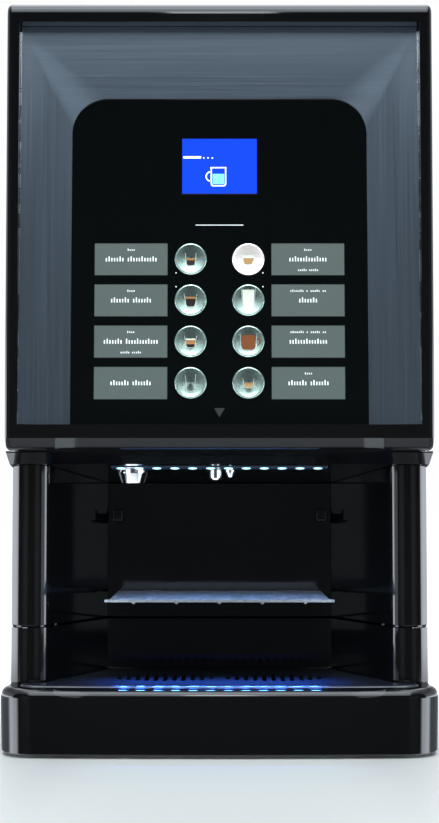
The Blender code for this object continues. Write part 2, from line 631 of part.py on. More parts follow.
def make_hinges():
    """Brackets with pins, bolted behind the cabinet's front flange, below the door and inside its head."""
    back, edge = -0.0912, -0.172
    plan = [(-0.192, -0.118), (-0.180, -0.118), (edge, -0.100), (edge, back), (-0.187, back),
            (-0.187, -0.0975), (-0.192, -0.0975)]
    made = []
    # The arm, the pin and the bolted tab, each as its lowest and highest point.
    for name, arm, pin, tab in (
            ("hinge_pin_lower", (0.1152, 0.1166), (0.1155, 0.1340), (0.1152, 0.1400)),
            ("hinge_pin_upper", (0.6782, 0.6812), (0.6615, 0.6800), (0.6600, 0.6812))):
        bracket = prism(name, plan, *arm, ZINC)
        plate = block("plate", (-0.1962, back - 0.003, tab[0]), (edge, back, tab[1]))
        shaft = prism("shaft", circle(HINGE.x, HINGE.y, HINGE_PIN_RADIUS, 20), *pin)
        made.append(fuse(bracket, plate, shaft))
    return made


# ---- Cabinet shell ----
def make_chassis():
    """The bottom plate, with a tongue that reaches forward under the drip drawer."""
    plan = [(-0.168, -0.235), (0.168, -0.235), (0.168, -0.094), (0.192, -0.094), (0.192, 0.270),
            (-0.192, 0.270), (-0.192, -0.094), (-0.168, -0.094)]
    plate = prism("base_chassis", plan, FLOOR_LOW, FLOOR_HIGH, ZINC)
    flanges = [block("flange", (side * 0.191 - 0.001, -0.092, 0.009), (side * 0.191 + 0.001, 0.268, 0.040))
               for side in (-1, 1)]
    return fuse(plate, *flanges)


def make_foot_rails():
    made = []
    front, rear, half_width, top = -0.228, 0.262, 0.010, FLOOR_LOW - GAP
    for name, x in (("left", -0.148), ("right", 0.148)):
        rail = block(f"foot_rail_{name}", (x - half_width, front, 0.0), (x + half_width, rear, top), RUBBER)
        made.append(bevelled(rail, 0.0015, 2))
    return made


def make_side_panels():
    """Plain sheets with a narrow flange folded in along the front, and vents near the rear."""
    outer, inner, flange, rear = CABINET_X, CABINET_X - SHEET, CABINET_X - 0.010, REAR - 0.0025
    plan = [(flange, CABINET_FRONT), (outer, CABINET_FRONT), (outer, rear), (inner, rear),
            (inner, CABINET_FRONT + SHEET), (flange, CABINET_FRONT + SHEET)]
    made = []
    for name, side in (("right", 1), ("left", -1)):
        panel = prism(f"side_panel_{name}", sided(plan, side), PANEL_FOOT, CABINET_TOP, DARK_SHEET)
        vents = [prism("vent", slot(0.190, 0.140 + 0.014 * i, 0.080, VENT_WIDTH), -0.3, 0.3, along="X")
                 for i in range(5)]
        made.append(cut(panel, cluster("vents", vents)))
    return made


def make_rear_panel():
    """The rear sheet, with openings for the fan, warm air, mains inlet, switch and water inlet."""
    panel = block("rear_panel", (-CABINET_X, REAR - SHEET, PANEL_FOOT), (CABINET_X, REAR, CABINET_TOP),
                  DARK_SHEET)
    strip = block("strip", (-CABINET_X + 0.002, REAR - 0.0115, CABINET_TOP - SHEET),
                  (CABINET_X - 0.002, REAR - 0.0005, CABINET_TOP))
    fan_width, fan_pitch, half_count = 0.074, 0.009, 4.6
    outlines = []
    for i in range(-4, 5):
        length = fan_width * (1 - (i / half_count) ** 2) ** 0.5
        outlines.append(slot(FAN_AT.x, FAN_AT.y + fan_pitch * i, length, VENT_WIDTH))
    outlines += [slot(-0.110, 0.330 + 0.012 * i, 0.110, VENT_WIDTH) for i in range(6)]
    outlines += [rectangle(*INLET_AT, INLET_SIZE[0] + 2 * GAP, INLET_SIZE[1] + 2 * GAP),
                 rectangle(*SWITCH_AT, 0.0226, 0.0306),
                 circle(*VALVE_AT, SPIGOT_RADIUS + 2 * GAP, 20)]
    openings = [prism("opening", outline, 0.2, 0.3, along="Y") for outline in outlines]
    return cut(fuse(panel, strip), cluster("openings", openings))


LID_AXIS = Vector((0, REAR - 0.0095, 0.7010))


def make_top_lid():
    """The refill lid, hinged along its rear edge."""
    front, back, wall = CABINET_FRONT - GAP, LID_AXIS.y - 0.0025, 0.003
    lid = block("top_lid", (-CABINET_X, front, CABINET_TOP + 0.001), (CABINET_X, back, HEIGHT - 0.001),
                GLOSS_BLACK)
    lid = bevelled(lid, 0.0018, 2)
    recess = block("recess", (wall - CABINET_X, front + wall, CABINET_TOP - 0.01),
                   (CABINET_X - wall, back - wall, CABINET_TOP + 0.004))
    return cut(lid, recess)


# ---- Inside the cabinet ----
def make_bulkhead():
    """The wall between brewer and boiler, with the deck for hopper and canister folded over it."""
    half = 0.1885
    wall = block("bulkhead", (-half, BULKHEAD, PANEL_FOOT), (half, BULKHEAD_REAR, DECK), ZINC)
    deck = block("deck", (-half, -0.088, DECK - 0.002), (half, 0.262, DECK))
    drop_hole = prism("drop", circle(MIXER.x, MIXER.y - 0.020, 0.020, 20), 0.4, 0.6)
    bean_hole = prism("beans", rectangle(GRINDER.x, GRINDER.y, 0.046, 0.046), 0.4, 0.6)
    hose_holes = [prism("hose", circle(x, 0.30, 0.012, 14), 0.05, 0.15, along="Y") for x in (-0.03, 0.0)]
    shafts = [prism("shaft", circle(BREWER_X, GEAR_Z, 0.006, 16), 0.05, 0.15, along="Y"),
              prism("shaft", circle(MIXER.x, WHIPPER_Z, 0.006, 16), 0.05, 0.15, along="Y")]
    return cut(fuse(wall, deck), cluster("holes", [drop_hole, bean_hole, *hose_holes, *shafts]))


def make_bean_hopper():
    """An open-topped hopper that funnels down to a square outlet over the grinder."""
    def ring(z, low, high, wall):
        x0, y0, x1, y1 = low[0] + wall, low[1] + wall, high[0] - wall, high[1] - wall
        return [(x0, y0, z), (x1, y0, z), (x1, y1, z), (x0, y1, z)]
    half = 0.022
    outlet = (GRINDER.x - half, GRINDER.y - half), (GRINDER.x + half, GRINDER.y + half)
    full = (-0.186, -0.085), (-0.008, 0.255)
    wall = 0.0025
    outside = [(0.5022, outlet), (0.512, outlet), (0.570, full), (0.690, full)]
    loops = [ring(z, *box, 0) for z, box in outside] + [ring(z, *box, wall) for z, box in outside[::-1]]
    return loft("bean_hopper", loops, CLEAR_BROWN, ring=True)


def make_canister():
    """A powder canister with an auger trough, an outlet snout in front and a drive hole behind."""
    wall, front, rear, top = 0.0025, -0.050, 0.205, 0.690
    axis = (CANISTER_X, AUGER_Z)

    def section(inset, section_top):
        """A round trough round the auger that widens into straight sides."""
        trough = arc(*axis, 0.022 - inset, 180, 360, 10)
        low_x, high_x, shoulder = CANISTER_X - 0.050 + inset, CANISTER_X + 0.050 - inset, 0.600
        return [*trough, (high_x, shoulder), (high_x, section_top), (low_x, section_top), (low_x, shoulder)]
    body = prism("powder_canister", section(0, top), front, rear, CLEAR_BROWN, along="Y")
    body = fuse(body, prism("snout", circle(*axis, 0.016, 20), front - 0.040, front + 0.001, along="Y"))
    return cut(body, prism("space", section(wall, top + 0.02), front + wall, rear - wall, along="Y"),
               prism("bore", circle(*axis, 0.0135, 20), front - 0.037, front + 0.010, along="Y"),
               prism("drop", circle(CANISTER_X, MIXER.y - 0.020, 0.009, 14), 0.50, AUGER_Z),
               prism("drive", circle(*axis, 0.006, 16), 0.19, 0.22, along="Y"))


def make_auger():
    """The powder screw: one blade wound round a shaft, and its origin is on the shaft's axis."""
    shaft_radius, blade_radius, blade_root, blade_thick = 0.004, 0.0122, 0.002, 0.0022
    front, length, turns, steps = -0.082, 0.268, 6, 8
    shaft = prism("auger", circle(0, 0, shaft_radius, 12), front - 0.002, 0.2065, WHITE_PLASTIC, "Y")
    corners = ((blade_root, 0), (blade_radius, 0), (blade_radius, blade_thick), (blade_root, blade_thick))
    sections = []
    for i in range(turns * steps + 1):
        angle = 2 * pi * i / steps
        y = front + length * i / (turns * steps)
        sections.append([(radius * cos(angle), y + shift, radius * sin(angle)) for radius, shift in corners])
    auger = fuse(shaft, loft("blade", sections))
    auger.location = (CANISTER_X, 0, AUGER_Z)
    return auger


def make_motors():
    """Three gearmotors with their output shafts: auger, brewer and whipper."""
    shaft_radius, edge = 0.003, 0.002
    made = []
    for name, x, z, start, radius, length, shaft in (
            ("auger_motor", CANISTER_X, AUGER_Z, 0.212, 0.020, 0.048, 0.005),
            ("brew_motor", BREWER_X, GEAR_Z, 0.104, 0.026, 0.060, 0.022),
            ("whipper_motor", MIXER.x, WHIPPER_Z, 0.104, 0.019, 0.050, 0.018)):
        end = start + length
        profile = [(shaft_radius, start - shaft), (shaft_radius, start), (radius - edge, start),
                   (radius, start + edge), (radius, end - edge), (radius - edge, end)]
        made.append(rounded(turned(name, profile, Vector((x, 0, z)), MOTOR_CAN, along="Y", steps=16)))
    return made


def make_grinder():
    """The grinder with its motor below, open at the throat, and the burr cone that turns inside it."""
    centre = Vector((*GRINDER, 0))
    outside = [(0.034, 0.312), (0.034, 0.388), (0.040, 0.392), (0.040, 0.485), (0.030, 0.500)]
    throat = [(0.0235, 0.500), (0.0235, 0.474), (0.031, 0.468), (0.031, 0.440), (0.006, 0.438),
              (0.006, 0.400)]
    body = rounded(turned("grinder_body", outside + throat, centre, MATT_BLACK))
    cone = [(0.0055, 0.4015), (0.0055, 0.442), (0.0295, 0.443), (0.0295, 0.448), (0.012, 0.472),
            (0.005, 0.474)]
    burr = turned("grinder_burr", cone, centre, STAINLESS)
    return [body, pivoted(rounded(burr), centre + Vector((0, 0, 0.44)))]


def make_brewer():
    """The brewer's block with its chamber, the piston in it and the toothed wheel that drives the piston."""
    chamber_radius, piston_foot = 0.024, 0.160
    housing = block("brew_housing", (BREWER_X - 0.060, -0.065, 0.140), (BREWER_X + 0.060, 0.060, 0.300),
                    MATT_BLACK)
    housing = bevelled(housing, 0.003, 2)
    bore = prism("bore", circle(BREWER_X, 0, chamber_radius, 20), 0.152, 0.31)
    window = block("window", (BREWER_X - 0.016, -0.08, 0.170), (BREWER_X + 0.016, 0.0, 0.260))
    housing = cut(housing, bore, window)
    crown, rod = chamber_radius - 0.0005, 0.006
    profile = [(crown, piston_foot), (crown, piston_foot + 0.012), (rod, piston_foot + 0.013), (rod, 0.216)]
    piston = turned("brew_piston", profile, Vector((BREWER_X, 0, 0)), STAINLESS, steps=20)
    teeth, root, tip = 20, 0.0355, 0.0400
    tooth = ((0.0, root), (0.22, root), (0.36, tip), (0.64, tip), (0.78, root))
    outline = []
    for i in range(teeth):
        for share, radius in tooth:
            angle = 2 * pi * (i + share) / teeth
            outline.append((BREWER_X + radius * cos(angle), GEAR_Z + radius * sin(angle)))
    gear = prism("brew_gear", outline, 0.0655, 0.0745, WHITE_PLASTIC, along="Y")
    gear = fuse(gear, prism("hub", circle(BREWER_X, GEAR_Z, 0.008, 20), 0.070, 0.0815, along="Y"))
    return [rounded(housing), pivoted(rounded(piston), Vector((BREWER_X, 0, piston_foot))),
            pivoted(gear, Vector((BREWER_X, 0.070, GEAR_Z)))]


def make_boiler():
    """A domed cylinder, held to the bulkhead by two clamps, with two pipe stubs on top."""
    x, y, low, high = -0.110, 0.185, 0.305, 0.470
    dome = [(0.050 * cos(radians(a)), 0.015 * sin(radians(a))) for a in (80, 40, 0)]
    profile = [(radius, low - rise) for radius, rise in dome]
    profile += [(radius, high + rise) for radius, rise in reversed(dome)]
    boiler = turned("boiler", profile, Vector((x, y, 0)), STAINLESS, steps=20)
    clamps = [block("clamp", (x - 0.012, BULKHEAD_REAR + GAP, z), (x + 0.012, y - 0.040, z + 0.020))
              for z in (0.330, 0.430)]
    stubs = [prism("stub", circle(x + shift, y, 0.005, 12), high + 0.005, 0.497) for shift in (-0.018, 0.018)]
    return rounded(fuse(boiler, *clamps, *stubs))


def make_pump():
    """A solenoid pump along X, with a port at each end, on a foot."""
    y, z, port, body, coil = 0.185, 0.062, 0.005, 0.022, 0.012
    profile = [(port, -0.075), (port, -0.058), (body - 0.002, -0.056), (body, -0.050), (body, 0.030),
               (coil, 0.034), (coil, 0.052), (port, 0.054), (port, 0.066)]
    pump = turned("water_pump", profile, Vector((0, y, z)), MOTOR_CAN, along="X", steps=14)
    foot = block("foot", (-0.035, y - 0.015, FLOOR_HIGH + GAP), (0.015, y + 0.015, z - 0.012))
    return rounded(fuse(pump, foot))


def make_inlet_valve():
    """The valve's block inside the rear panel, and the spigot for a water hose that comes through it."""
    x, z = VALVE_AT
    body = block("inlet_valve", (x - 0.018, 0.205, z - 0.018), (x + 0.018, 0.245, z + 0.030), WHITE_PLASTIC)
    spigot = prism("spigot", circle(x, z, SPIGOT_RADIUS, 20), 0.240, REAR, along="Y")
    bore = prism("bore", circle(x, z, 0.006, 16), 0.250, 0.28, along="Y")
    return rounded(cut(fuse(body, spigot), bore))


def make_mixer():
    """A funnel over a whipping chamber, with the outlet below, and the whipper that turns in it."""
    x, y = MIXER
    centre, wall = Vector((x, y, 0)), 0.002
    bowl = turned("mixer_bowl", [(0.014, 0.392), (0.036, 0.440), (0.036, 0.460)], centre, WHITE_PLASTIC)
    chamber = prism("chamber", circle(x, WHIPPER_Z, 0.021, 24), y - 0.020, y + 0.030, along="Y")
    spigot = prism("spigot", circle(x, y - 0.010, 0.007, 14), 0.340, 0.370)
    space = turned("space", [(0.014 - wall, 0.391), (0.036 - wall, 0.439), (0.036 - wall, 0.47)], centre)
    inner = prism("inner", circle(x, WHIPPER_Z, 0.021 - wall, 24), y - 0.020 + wall, y + 0.04, along="Y")
    drain = prism("drain", circle(x, y - 0.010, 0.0048, 14), 0.33, 0.375)
    bowl = cut(fuse(bowl, chamber, spigot), space, inner, drain)
    disc, shaft = 0.015, 0.003
    profile = [(disc, y - 0.012), (disc, y - 0.004), (shaft, y - 0.002), (shaft, 0.0855)]
    whipper = turned("whipper", profile, Vector((x, 0, WHIPPER_Z)), WHITE_PLASTIC, along="Y", steps=16)
    return [rounded(bowl), pivoted(rounded(whipper), Vector((x, y, WHIPPER_Z)))]


def make_boards():
    """The control board with its large components, on four posts, and the power supply's case."""
    front, back = 0.1110, 0.1126
    board = block("control_board", (-0.045, front, 0.150), (0.070, back, 0.480), BOARD_GREEN)
    # Low x, low z, width, height and depth: two relays, the processor, two connectors and the fuse row.
    components = ((-0.035, 0.170, 0.028, 0.028, 0.016), (0.005, 0.170, 0.028, 0.028, 0.016),
                  (-0.030, 0.225, 0.040, 0.040, 0.006), (0.030, 0.225, 0.012, 0.060, 0.012),
                  (-0.030, 0.300, 0.060, 0.020, 0.010), (-0.030, 0.400, 0.080, 0.014, 0.012))
    parts = []
    for x, z, width, height, depth in components:
        parts.append(block("part", (x, 0.112, z), (x + width, 0.112 + depth, z + height)))
    for x in (-0.040, 0.065):
        for z in (0.156, 0.474):
            parts.append(block("post", (x - 0.003, BULKHEAD_REAR + GAP, z - 0.003),
                               (x + 0.003, front + 0.0005, z + 0.003)))
    supply = block("power_supply", (0.070, 0.120, FLOOR_HIGH + GAP), (0.175, 0.232, 0.058), ZINC)
    return [fuse(board, *parts), bevelled(supply, 0.001, 1)]


def make_fan():
    """A square frame with a cross behind the rotor, and the rotor with its pitched blades."""
    x, z = FAN_AT
    front, rear = 0.2460, 0.2710
    frame = prism("fan_housing", rectangle(x, z, 0.080, 0.080), front, rear, MATT_BLACK, along="Y")
    frame = cut(frame, prism("bore", circle(x, z, 0.0370, 32), 0.24, 0.28, along="Y"))
    bars = [prism("bar", rectangle(x, z, *size), rear - 0.0020, rear - 0.0002, along="Y")
            for size in ((0.078, 0.004), (0.004, 0.078))]
    frame = fuse(frame, *bars, prism("hub", circle(x, z, 0.014, 20), rear - 0.0022, rear - 0.0001, along="Y"))
    blade_count, pitch, rotor_depth = 7, 0.9, 0.0170
    rotor = prism("fan_rotor", circle(0, 0, 0.0135, 21), 0.0, rotor_depth, MATT_BLACK, along="Y")
    lean = Matrix.Translation((0, rotor_depth / 2, 0)) @ Matrix.Rotation(pitch, 4, "X")
    blades = []
    for i in range(blade_count):
        blade = block("blade", (0.010, -0.001, -0.009), (0.0350, 0.001, 0.009))
        blades.append(placed(blade, Matrix.Rotation(2 * pi * i / blade_count, 4, "Y") @ lean))
    rotor = fuse(rotor, *blades)
    rotor.location = (x, front + 0.0045, z)
    return [frame, rotor]


def make_mains():
    """The socket for a mains lead, with its three pins, and the rocker switch beside it."""
    x, z = INLET_AT
    inlet = prism("power_inlet", rectangle(x, z, *INLET_SIZE), 0.245, REAR - 0.0005, MATT_BLACK, along="Y")
    inlet = cut(inlet, prism("socket", rectangle(x, z, 0.0260, 0.0185), 0.255, 0.28, along="Y"))
    pins = [prism("pin", rectangle(x + shift, z + rise, 0.002, 0.004), 0.250, 0.268, along="Y")
            for shift, rise in ((-0.007, -0.002), (0, 0.002), (0.007, -0.002))]
    x, z = SWITCH_AT
    half_width, inside = 0.0108, 0.262
    rocker = [(inside, z - 0.010), (0.270, z - 0.012), (0.2705, z), (0.2740, z + 0.012), (inside, z + 0.010)]
    switch = prism("power_switch", rocker, x - half_width, x + half_width, MATT_BLACK, along="X")
    return [fuse(inlet, *pins), pivoted(switch, Vector((x, inside + 0.002, z)))]


# ---- Assembly ----
def hung_on(name, point, pieces):
    """Parents the pieces to an empty at the point, which stands for one moving body."""
    holder = bpy.data.objects.new(name, None)
    bpy.context.scene.collection.objects.link(holder)
    holder.location = point
    bpy.context.view_layer.update()
    for piece in pieces:
        piece.parent = holder
        piece.matrix_parent_inverse = Matrix.Translation(-Vector(point))


def make_cabinet():
    make_chassis()
    make_foot_rails()
    make_side_panels()
    make_rear_panel()
    make_bulkhead()
    make_hinges()
    pivoted(make_top_lid(), LID_AXIS)


def make_inside():
    make_bean_hopper()
    make_grinder()
    make_brewer()
    make_canister()
    make_auger()
    make_motors()
    make_mixer()
    make_boiler()
    make_pump()
    make_inlet_valve()
    make_boards()
    make_fan()
    make_mains()


def make_door():
    shell = [make_door_frame(), make_door_liner(), make_door_lock()]
    controls = [make_fascia(), make_control_panel(), make_label_diffuser(), make_display(),
                make_keypad_board(), *make_buttons()]
    bay = [*make_bay_sides(), make_bay_back_wall(), make_bay_ceiling(), make_led_bar()]
    shelf = pivoted(make_cup_shelf(), Vector((0, SHELF_BACK, SHELF_TOP)))
    hung_on("door_axis", HINGE, [*shell, *controls, *bay, *make_nozzles(), shelf])


def make_drip_drawer():
    slide = Vector((0, DOOR_BACK, SKIRT_BOTTOM))
    hung_on("drawer_slide", slide, [make_drawer(), make_tray_grille(), make_grounds_bin()])


make_cabinet()
make_inside()
make_door()
make_drip_drawer()
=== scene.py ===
"""Looks of the table-top hot drinks machine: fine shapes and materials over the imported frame.

Lengths are in metres, in the CAD's frame: X to the right, -Y to the front, Z up.
"""
import json
from math import acos, asin, atan2, cos, degrees, hypot, pi, radians, sin

import bmesh
import bpy
from mathutils import Matrix, Vector


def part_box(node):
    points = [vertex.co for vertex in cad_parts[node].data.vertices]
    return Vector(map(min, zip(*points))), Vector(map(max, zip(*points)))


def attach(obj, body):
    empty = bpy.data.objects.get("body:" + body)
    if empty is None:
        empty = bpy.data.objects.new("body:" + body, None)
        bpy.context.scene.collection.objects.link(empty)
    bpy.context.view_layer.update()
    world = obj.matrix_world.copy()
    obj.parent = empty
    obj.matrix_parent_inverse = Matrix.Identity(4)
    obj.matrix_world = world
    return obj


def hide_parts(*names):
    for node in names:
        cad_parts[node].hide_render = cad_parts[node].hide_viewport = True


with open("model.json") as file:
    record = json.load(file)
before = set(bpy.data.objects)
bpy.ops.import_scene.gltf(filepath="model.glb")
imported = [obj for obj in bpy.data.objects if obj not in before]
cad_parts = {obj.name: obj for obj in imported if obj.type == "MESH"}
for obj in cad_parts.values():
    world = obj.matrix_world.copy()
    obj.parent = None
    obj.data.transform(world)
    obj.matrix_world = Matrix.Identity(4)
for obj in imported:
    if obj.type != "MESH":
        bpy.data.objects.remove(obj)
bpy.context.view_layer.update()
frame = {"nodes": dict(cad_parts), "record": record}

# ---- Places read from the frame ----
HEAD_LOW, HEAD_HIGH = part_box("door_frame")
DRAWER_LOW, DRAWER_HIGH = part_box("drip_drawer")
SIDE_LOW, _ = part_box("bay_side_right")
WALL_LOW, WALL_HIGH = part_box("bay_back_wall")
FASCIA_LOW, FASCIA_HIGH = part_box("fascia")
GRILLE_LOW, GRILLE_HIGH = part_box("tray_grille")
SHELF_LOW, SHELF_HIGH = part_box("cup_shelf")
LED_LOW, LED_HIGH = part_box("led_bar")
DISPLAY_LOW, DISPLAY_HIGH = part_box("display")


def middle(node):
    low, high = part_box(node)
    return (low + high) / 2


# ---- Dimensions (metres) ----
SHELL = 0.003
FRONT, HALF_WIDTH = DRAWER_LOW.y, DRAWER_HIGH.x
DOOR_X, DOOR_FACE, DOOR_BACK = HEAD_HIGH.x, HEAD_LOW.y, HEAD_HIGH.y
CHIN_RISE, CHIN_DEPTH, TOP_ROUND = 0.0115, 0.010, 0.012
NOSE_X, NOSE_Y, NOSE_RADIUS = DOOR_X - 0.020, -0.205, 0.020
BAY_HALF, BAY_BACK = SIDE_LOW.x, -0.113
CEILING_AT_BACK, CEILING_SLOPE = 0.253, 0.1505
SKIRT_CORNER, SKIRT_BOW = 0.035, 0.004
CORNER_X, CORNER_Y = HALF_WIDTH - SKIRT_CORNER, FRONT + SKIRT_BOW + SKIRT_CORNER    # the right front one
SKIRT_SHOULDER, RIM_TOP = 0.0545, 0.063
TRAY_FLOOR = 0.024
RIM_WIDTH = 0.0175
FASCIA_X = FASCIA_HIGH.x
FASCIA_FRONT = DOOR_FACE + 0.0005
FASCIA_RECESS, PANEL_RECESS = 0.0135, 0.012
PANEL_X, PANEL_LENGTH, PANEL_CORNER, PANEL_THICK = 0.140, 0.3115, 0.034, 0.003
LEAN = asin(FASCIA_RECESS / (FASCIA_HIGH.z - FASCIA_LOW.z))
BUTTON_RADIUS = 0.01475
LABEL_X, LABEL_WIDTH, LABEL_HEIGHT = 0.0835, 0.069, 0.0306
LIT_BUTTON = 5
LED_COUNT, LED_PITCH, LED_RADIUS = 12, 0.01725, 0.0046
SCREEN_FACE = 0.0006     # depth of the screen's face behind the panel's
SCREEN_ASPECT = 0.75     # height to width
HAIR = 0.0002            # keeps a printed mark clear of the surface under it
HINGE_X, HINGE_Y, PIN_HOLE = -0.186, -0.112, 0.0025
LOCK_Y, LOCK_Z = -0.150, 0.500
HOOK_X, TONGUE_X = 0.1035, 0.070
TINY = 1e-6              # points nearer than this are one
SMOOTH_ANGLE = 32        # edges sharper than this many degrees stay crisp

PANEL_FRAME = (Matrix.Translation((0, FASCIA_FRONT + PANEL_RECESS, FASCIA_LOW.z))
               @ Matrix.Rotation(-LEAN, 4, "X"))


# ---- Shape helpers ----
def new_object(name, mesh, finish):
    made = bpy.data.objects.new(name, mesh)
    bpy.context.scene.collection.objects.link(made)
    mesh.materials.clear()
    if finish:
        mesh.materials.append(finish)
    return made


def from_bmesh(name, shape, finish=None):
    bmesh.ops.recalc_face_normals(shape, faces=shape.faces)
    mesh = bpy.data.meshes.new(name)
    shape.to_mesh(mesh)
    shape.free()
    return new_object(name, mesh, finish)


def loft(name, loops, finish=None, ring=False):
    """Skins closed loops of equal length.

    A ring joins the last loop to the first; otherwise both ends are capped.
    """
    shape = bmesh.new()
    rows = [[shape.verts.new(point) for point in loop] for loop in loops]
    pairs = list(zip(rows, rows[1:] + rows[:1]))
    for low, high in pairs if ring else pairs[:-1]:
        for i in range(len(low)):
            j = (i + 1) % len(low)
            shape.faces.new((low[i], low[j], high[j], high[i]))
    if not ring:
        shape.faces.new(rows[0])
        shape.faces.new(rows[-1])
    bmesh.ops.remove_doubles(shape, verts=shape.verts, dist=TINY)
    return from_bmesh(name, shape, finish)


def block(name, low, high, finish=None):
    (x0, y0, z0), (x1, y1, z1) = low, high
    plan = [(x0, y0), (x1, y0), (x1, y1), (x0, y1)]
    return loft(name, [[(x, y, z) for x, y in plan] for z in (z0, z1)], finish)


def prism(name, outline, low, high, finish=None, along="Z"):
    """Extrudes an outline of (x, y) along Z, (x, z) along Y, or (y, z) along X."""
    place = {
        "Z": lambda a, b, t: (a, b, t),
        "Y": lambda a, b, t: (a, t, b),
        "X": lambda a, b, t: (t, a, b),
    }[along]
    return loft(name, [[place(a, b, t) for a, b in outline] for t in (low, high)], finish)


def arc(centre_a, centre_b, radius, start, end, steps):
    angles = [radians(start + (end - start) * i / steps) for i in range(steps + 1)]
    return [(centre_a + radius * cos(a), centre_b + radius * sin(a)) for a in angles]


def circle(centre_a, centre_b, radius, steps=48):
    return arc(centre_a, centre_b, radius, 0, 360 * (steps - 1) / steps, steps - 1)


def rectangle(centre_a, centre_b, size_a, size_b):
    a, b = size_a / 2, size_b / 2
    return [(centre_a - a, centre_b - b), (centre_a + a, centre_b - b),
            (centre_a + a, centre_b + b), (centre_a - a, centre_b + b)]


def slot(centre_a, centre_b, length, width, steps=8):
    reach, radius = (length - width) / 2, width / 2
    return (arc(centre_a + reach, centre_b, radius, -90, 90, steps)
            + arc(centre_a - reach, centre_b, radius, 90, 270, steps))


def turned(name, profile, place, finish=None, steps=64, ring=False):
    """Turns (radius, height) points about +Z of the given matrix."""
    loops = [[place @ Vector((x, y, height)) for x, y in circle(0, 0, radius, steps)]
             for radius, height in profile]
    return loft(name, loops, finish, ring)


def combine(base, operation, pieces):
    for piece in pieces:
        modifier = base.modifiers.new("shape", "BOOLEAN")
        modifier.operation = operation
        modifier.solver = "EXACT"
        modifier.object = piece
    bpy.context.view_layer.update()
    mesh = bpy.data.meshes.new_from_object(base.evaluated_get(bpy.context.evaluated_depsgraph_get()))
    finish = base.data.materials[0] if base.data.materials else None
    base.modifiers.clear()
    base.data = mesh
    mesh.materials.clear()
    if finish:
        mesh.materials.append(finish)
    for piece in pieces:
        bpy.data.objects.remove(piece, do_unlink=True)
    return base


def cut(base, *pieces):
    return combine(base, "DIFFERENCE", pieces)


def fuse(base, *pieces):
    return combine(base, "UNION", pieces)


def cluster(name, pieces, finish=None):
    """Joins separate shapes into one object."""
    shape = bmesh.new()
    for piece in pieces:
        shape.from_mesh(piece.data)
        bpy.data.objects.remove(piece, do_unlink=True)
    return from_bmesh(name, shape, finish)


def placed(made, matrix):
    made.data.transform(matrix)
    return made


def softened(made, width, segments=3, angle=35):
    """Rounds the edges and shades the curved faces smooth."""
    if width:
        modifier = made.modifiers.new("edges", "BEVEL")
        modifier.width = width
        modifier.segments = segments
        modifier.limit_method = "ANGLE"
        modifier.angle_limit = radians(angle)
        combine(made, "UNION", [])
    made.data.shade_smooth()
    made.data.set_sharp_from_angle(angle=radians(SMOOTH_ANGLE))
    modifier = made.modifiers.new("shading", "WEIGHTED_NORMAL")
    modifier.keep_sharp = True
    modifier.weight = 100
    return combine(made, "UNION", [])


def mirrored_x(points):
    return [(-x, y) for x, y in reversed(points)]


def fit(made, body, slot_name, *nodes):
    """The piece rides on a body and, where nodes are named, stands for them and hides them. The slot name is
    not used.
    """
    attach(made, body)
    if nodes:
        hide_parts(*nodes)
    return made


# ---- Materials ----
class Finish:
    """A Principled material, with short names for the nodes that feed it."""

    def __init__(self, name, colour, roughness, metallic=0.0, **values):
        self.material = bpy.data.materials.new(name)
        self.material.use_nodes = True
        self.nodes, self.links = self.material.node_tree.nodes, self.material.node_tree.links
        self.shader = self.nodes["Principled BSDF"]
        self.colour, self.roughness = colour, roughness
        self.set("Base Color", (*colour, 1.0))
        self.set("Roughness", roughness)
        self.set("Metallic", metallic)
        for label, value in values.items():
            self.set(label.replace("_", " "), value)

    def set(self, label, value):
        self.shader.inputs[label].default_value = value

    def node(self, kind, **values):
        made = self.nodes.new("ShaderNode" + kind)
        for label, value in values.items():
            setattr(made, label, value)
        return made

    def noise(self, scale, detail=3.0, stretch=(1, 1, 1)):
        """Noise in the object's own coordinates; stretch multiplies the frequency along each axis."""
        coordinates = self.node("TexCoord")
        mapping = self.node("Mapping")
        mapping.inputs["Scale"].default_value = stretch
        made = self.node("TexNoise")
        made.inputs["Scale"].default_value = scale
        made.inputs["Detail"].default_value = detail
        self.links.new(coordinates.outputs["Object"], mapping.inputs["Vector"])
        self.links.new(mapping.outputs["Vector"], made.inputs["Vector"])
        return made.outputs["Fac"]

    def remap(self, source, near, far, low=0.0, high=1.0, kind="SMOOTHSTEP"):
        """Goes from low, where the source is near, to high, where it is far."""
        made = self.node("MapRange", interpolation_type=kind)
        for label, value in (("From Min", near), ("From Max", far), ("To Min", low), ("To Max", high)):
            made.inputs[label].default_value = value
        self.links.new(source, made.inputs["Value"])
        return made.outputs["Result"]

    def spread(self, source, low, high):
        """Maps noise from its usual middle band to low..high."""
        return self.remap(source, 0.3, 0.7, low, high, "LINEAR")

    def vary_roughness(self, source, amount):
        result = self.spread(source, max(0.02, self.roughness - amount), self.roughness + amount)
        self.links.new(result, self.shader.inputs["Roughness"])
        return self

    def vary_colour(self, source, dark, light):
        made = self.node("Mix", data_type="RGBA")
        made.inputs["A"].default_value = (*[c * dark for c in self.colour], 1.0)
        made.inputs["B"].default_value = (*[min(1.0, c * light) for c in self.colour], 1.0)
        self.links.new(self.spread(source, 0.0, 1.0), made.inputs["Factor"])
        self.links.new(made.outputs["Result"], self.shader.inputs["Base Color"])
        return self

    def bump(self, source, distance, strength=1.0):
        made = self.node("Bump")
        made.inputs["Distance"].default_value = distance
        made.inputs["Strength"].default_value = strength
        self.links.new(source, made.inputs["Height"])
        self.links.new(made.outputs["Normal"], self.shader.inputs["Normal"])
        return self


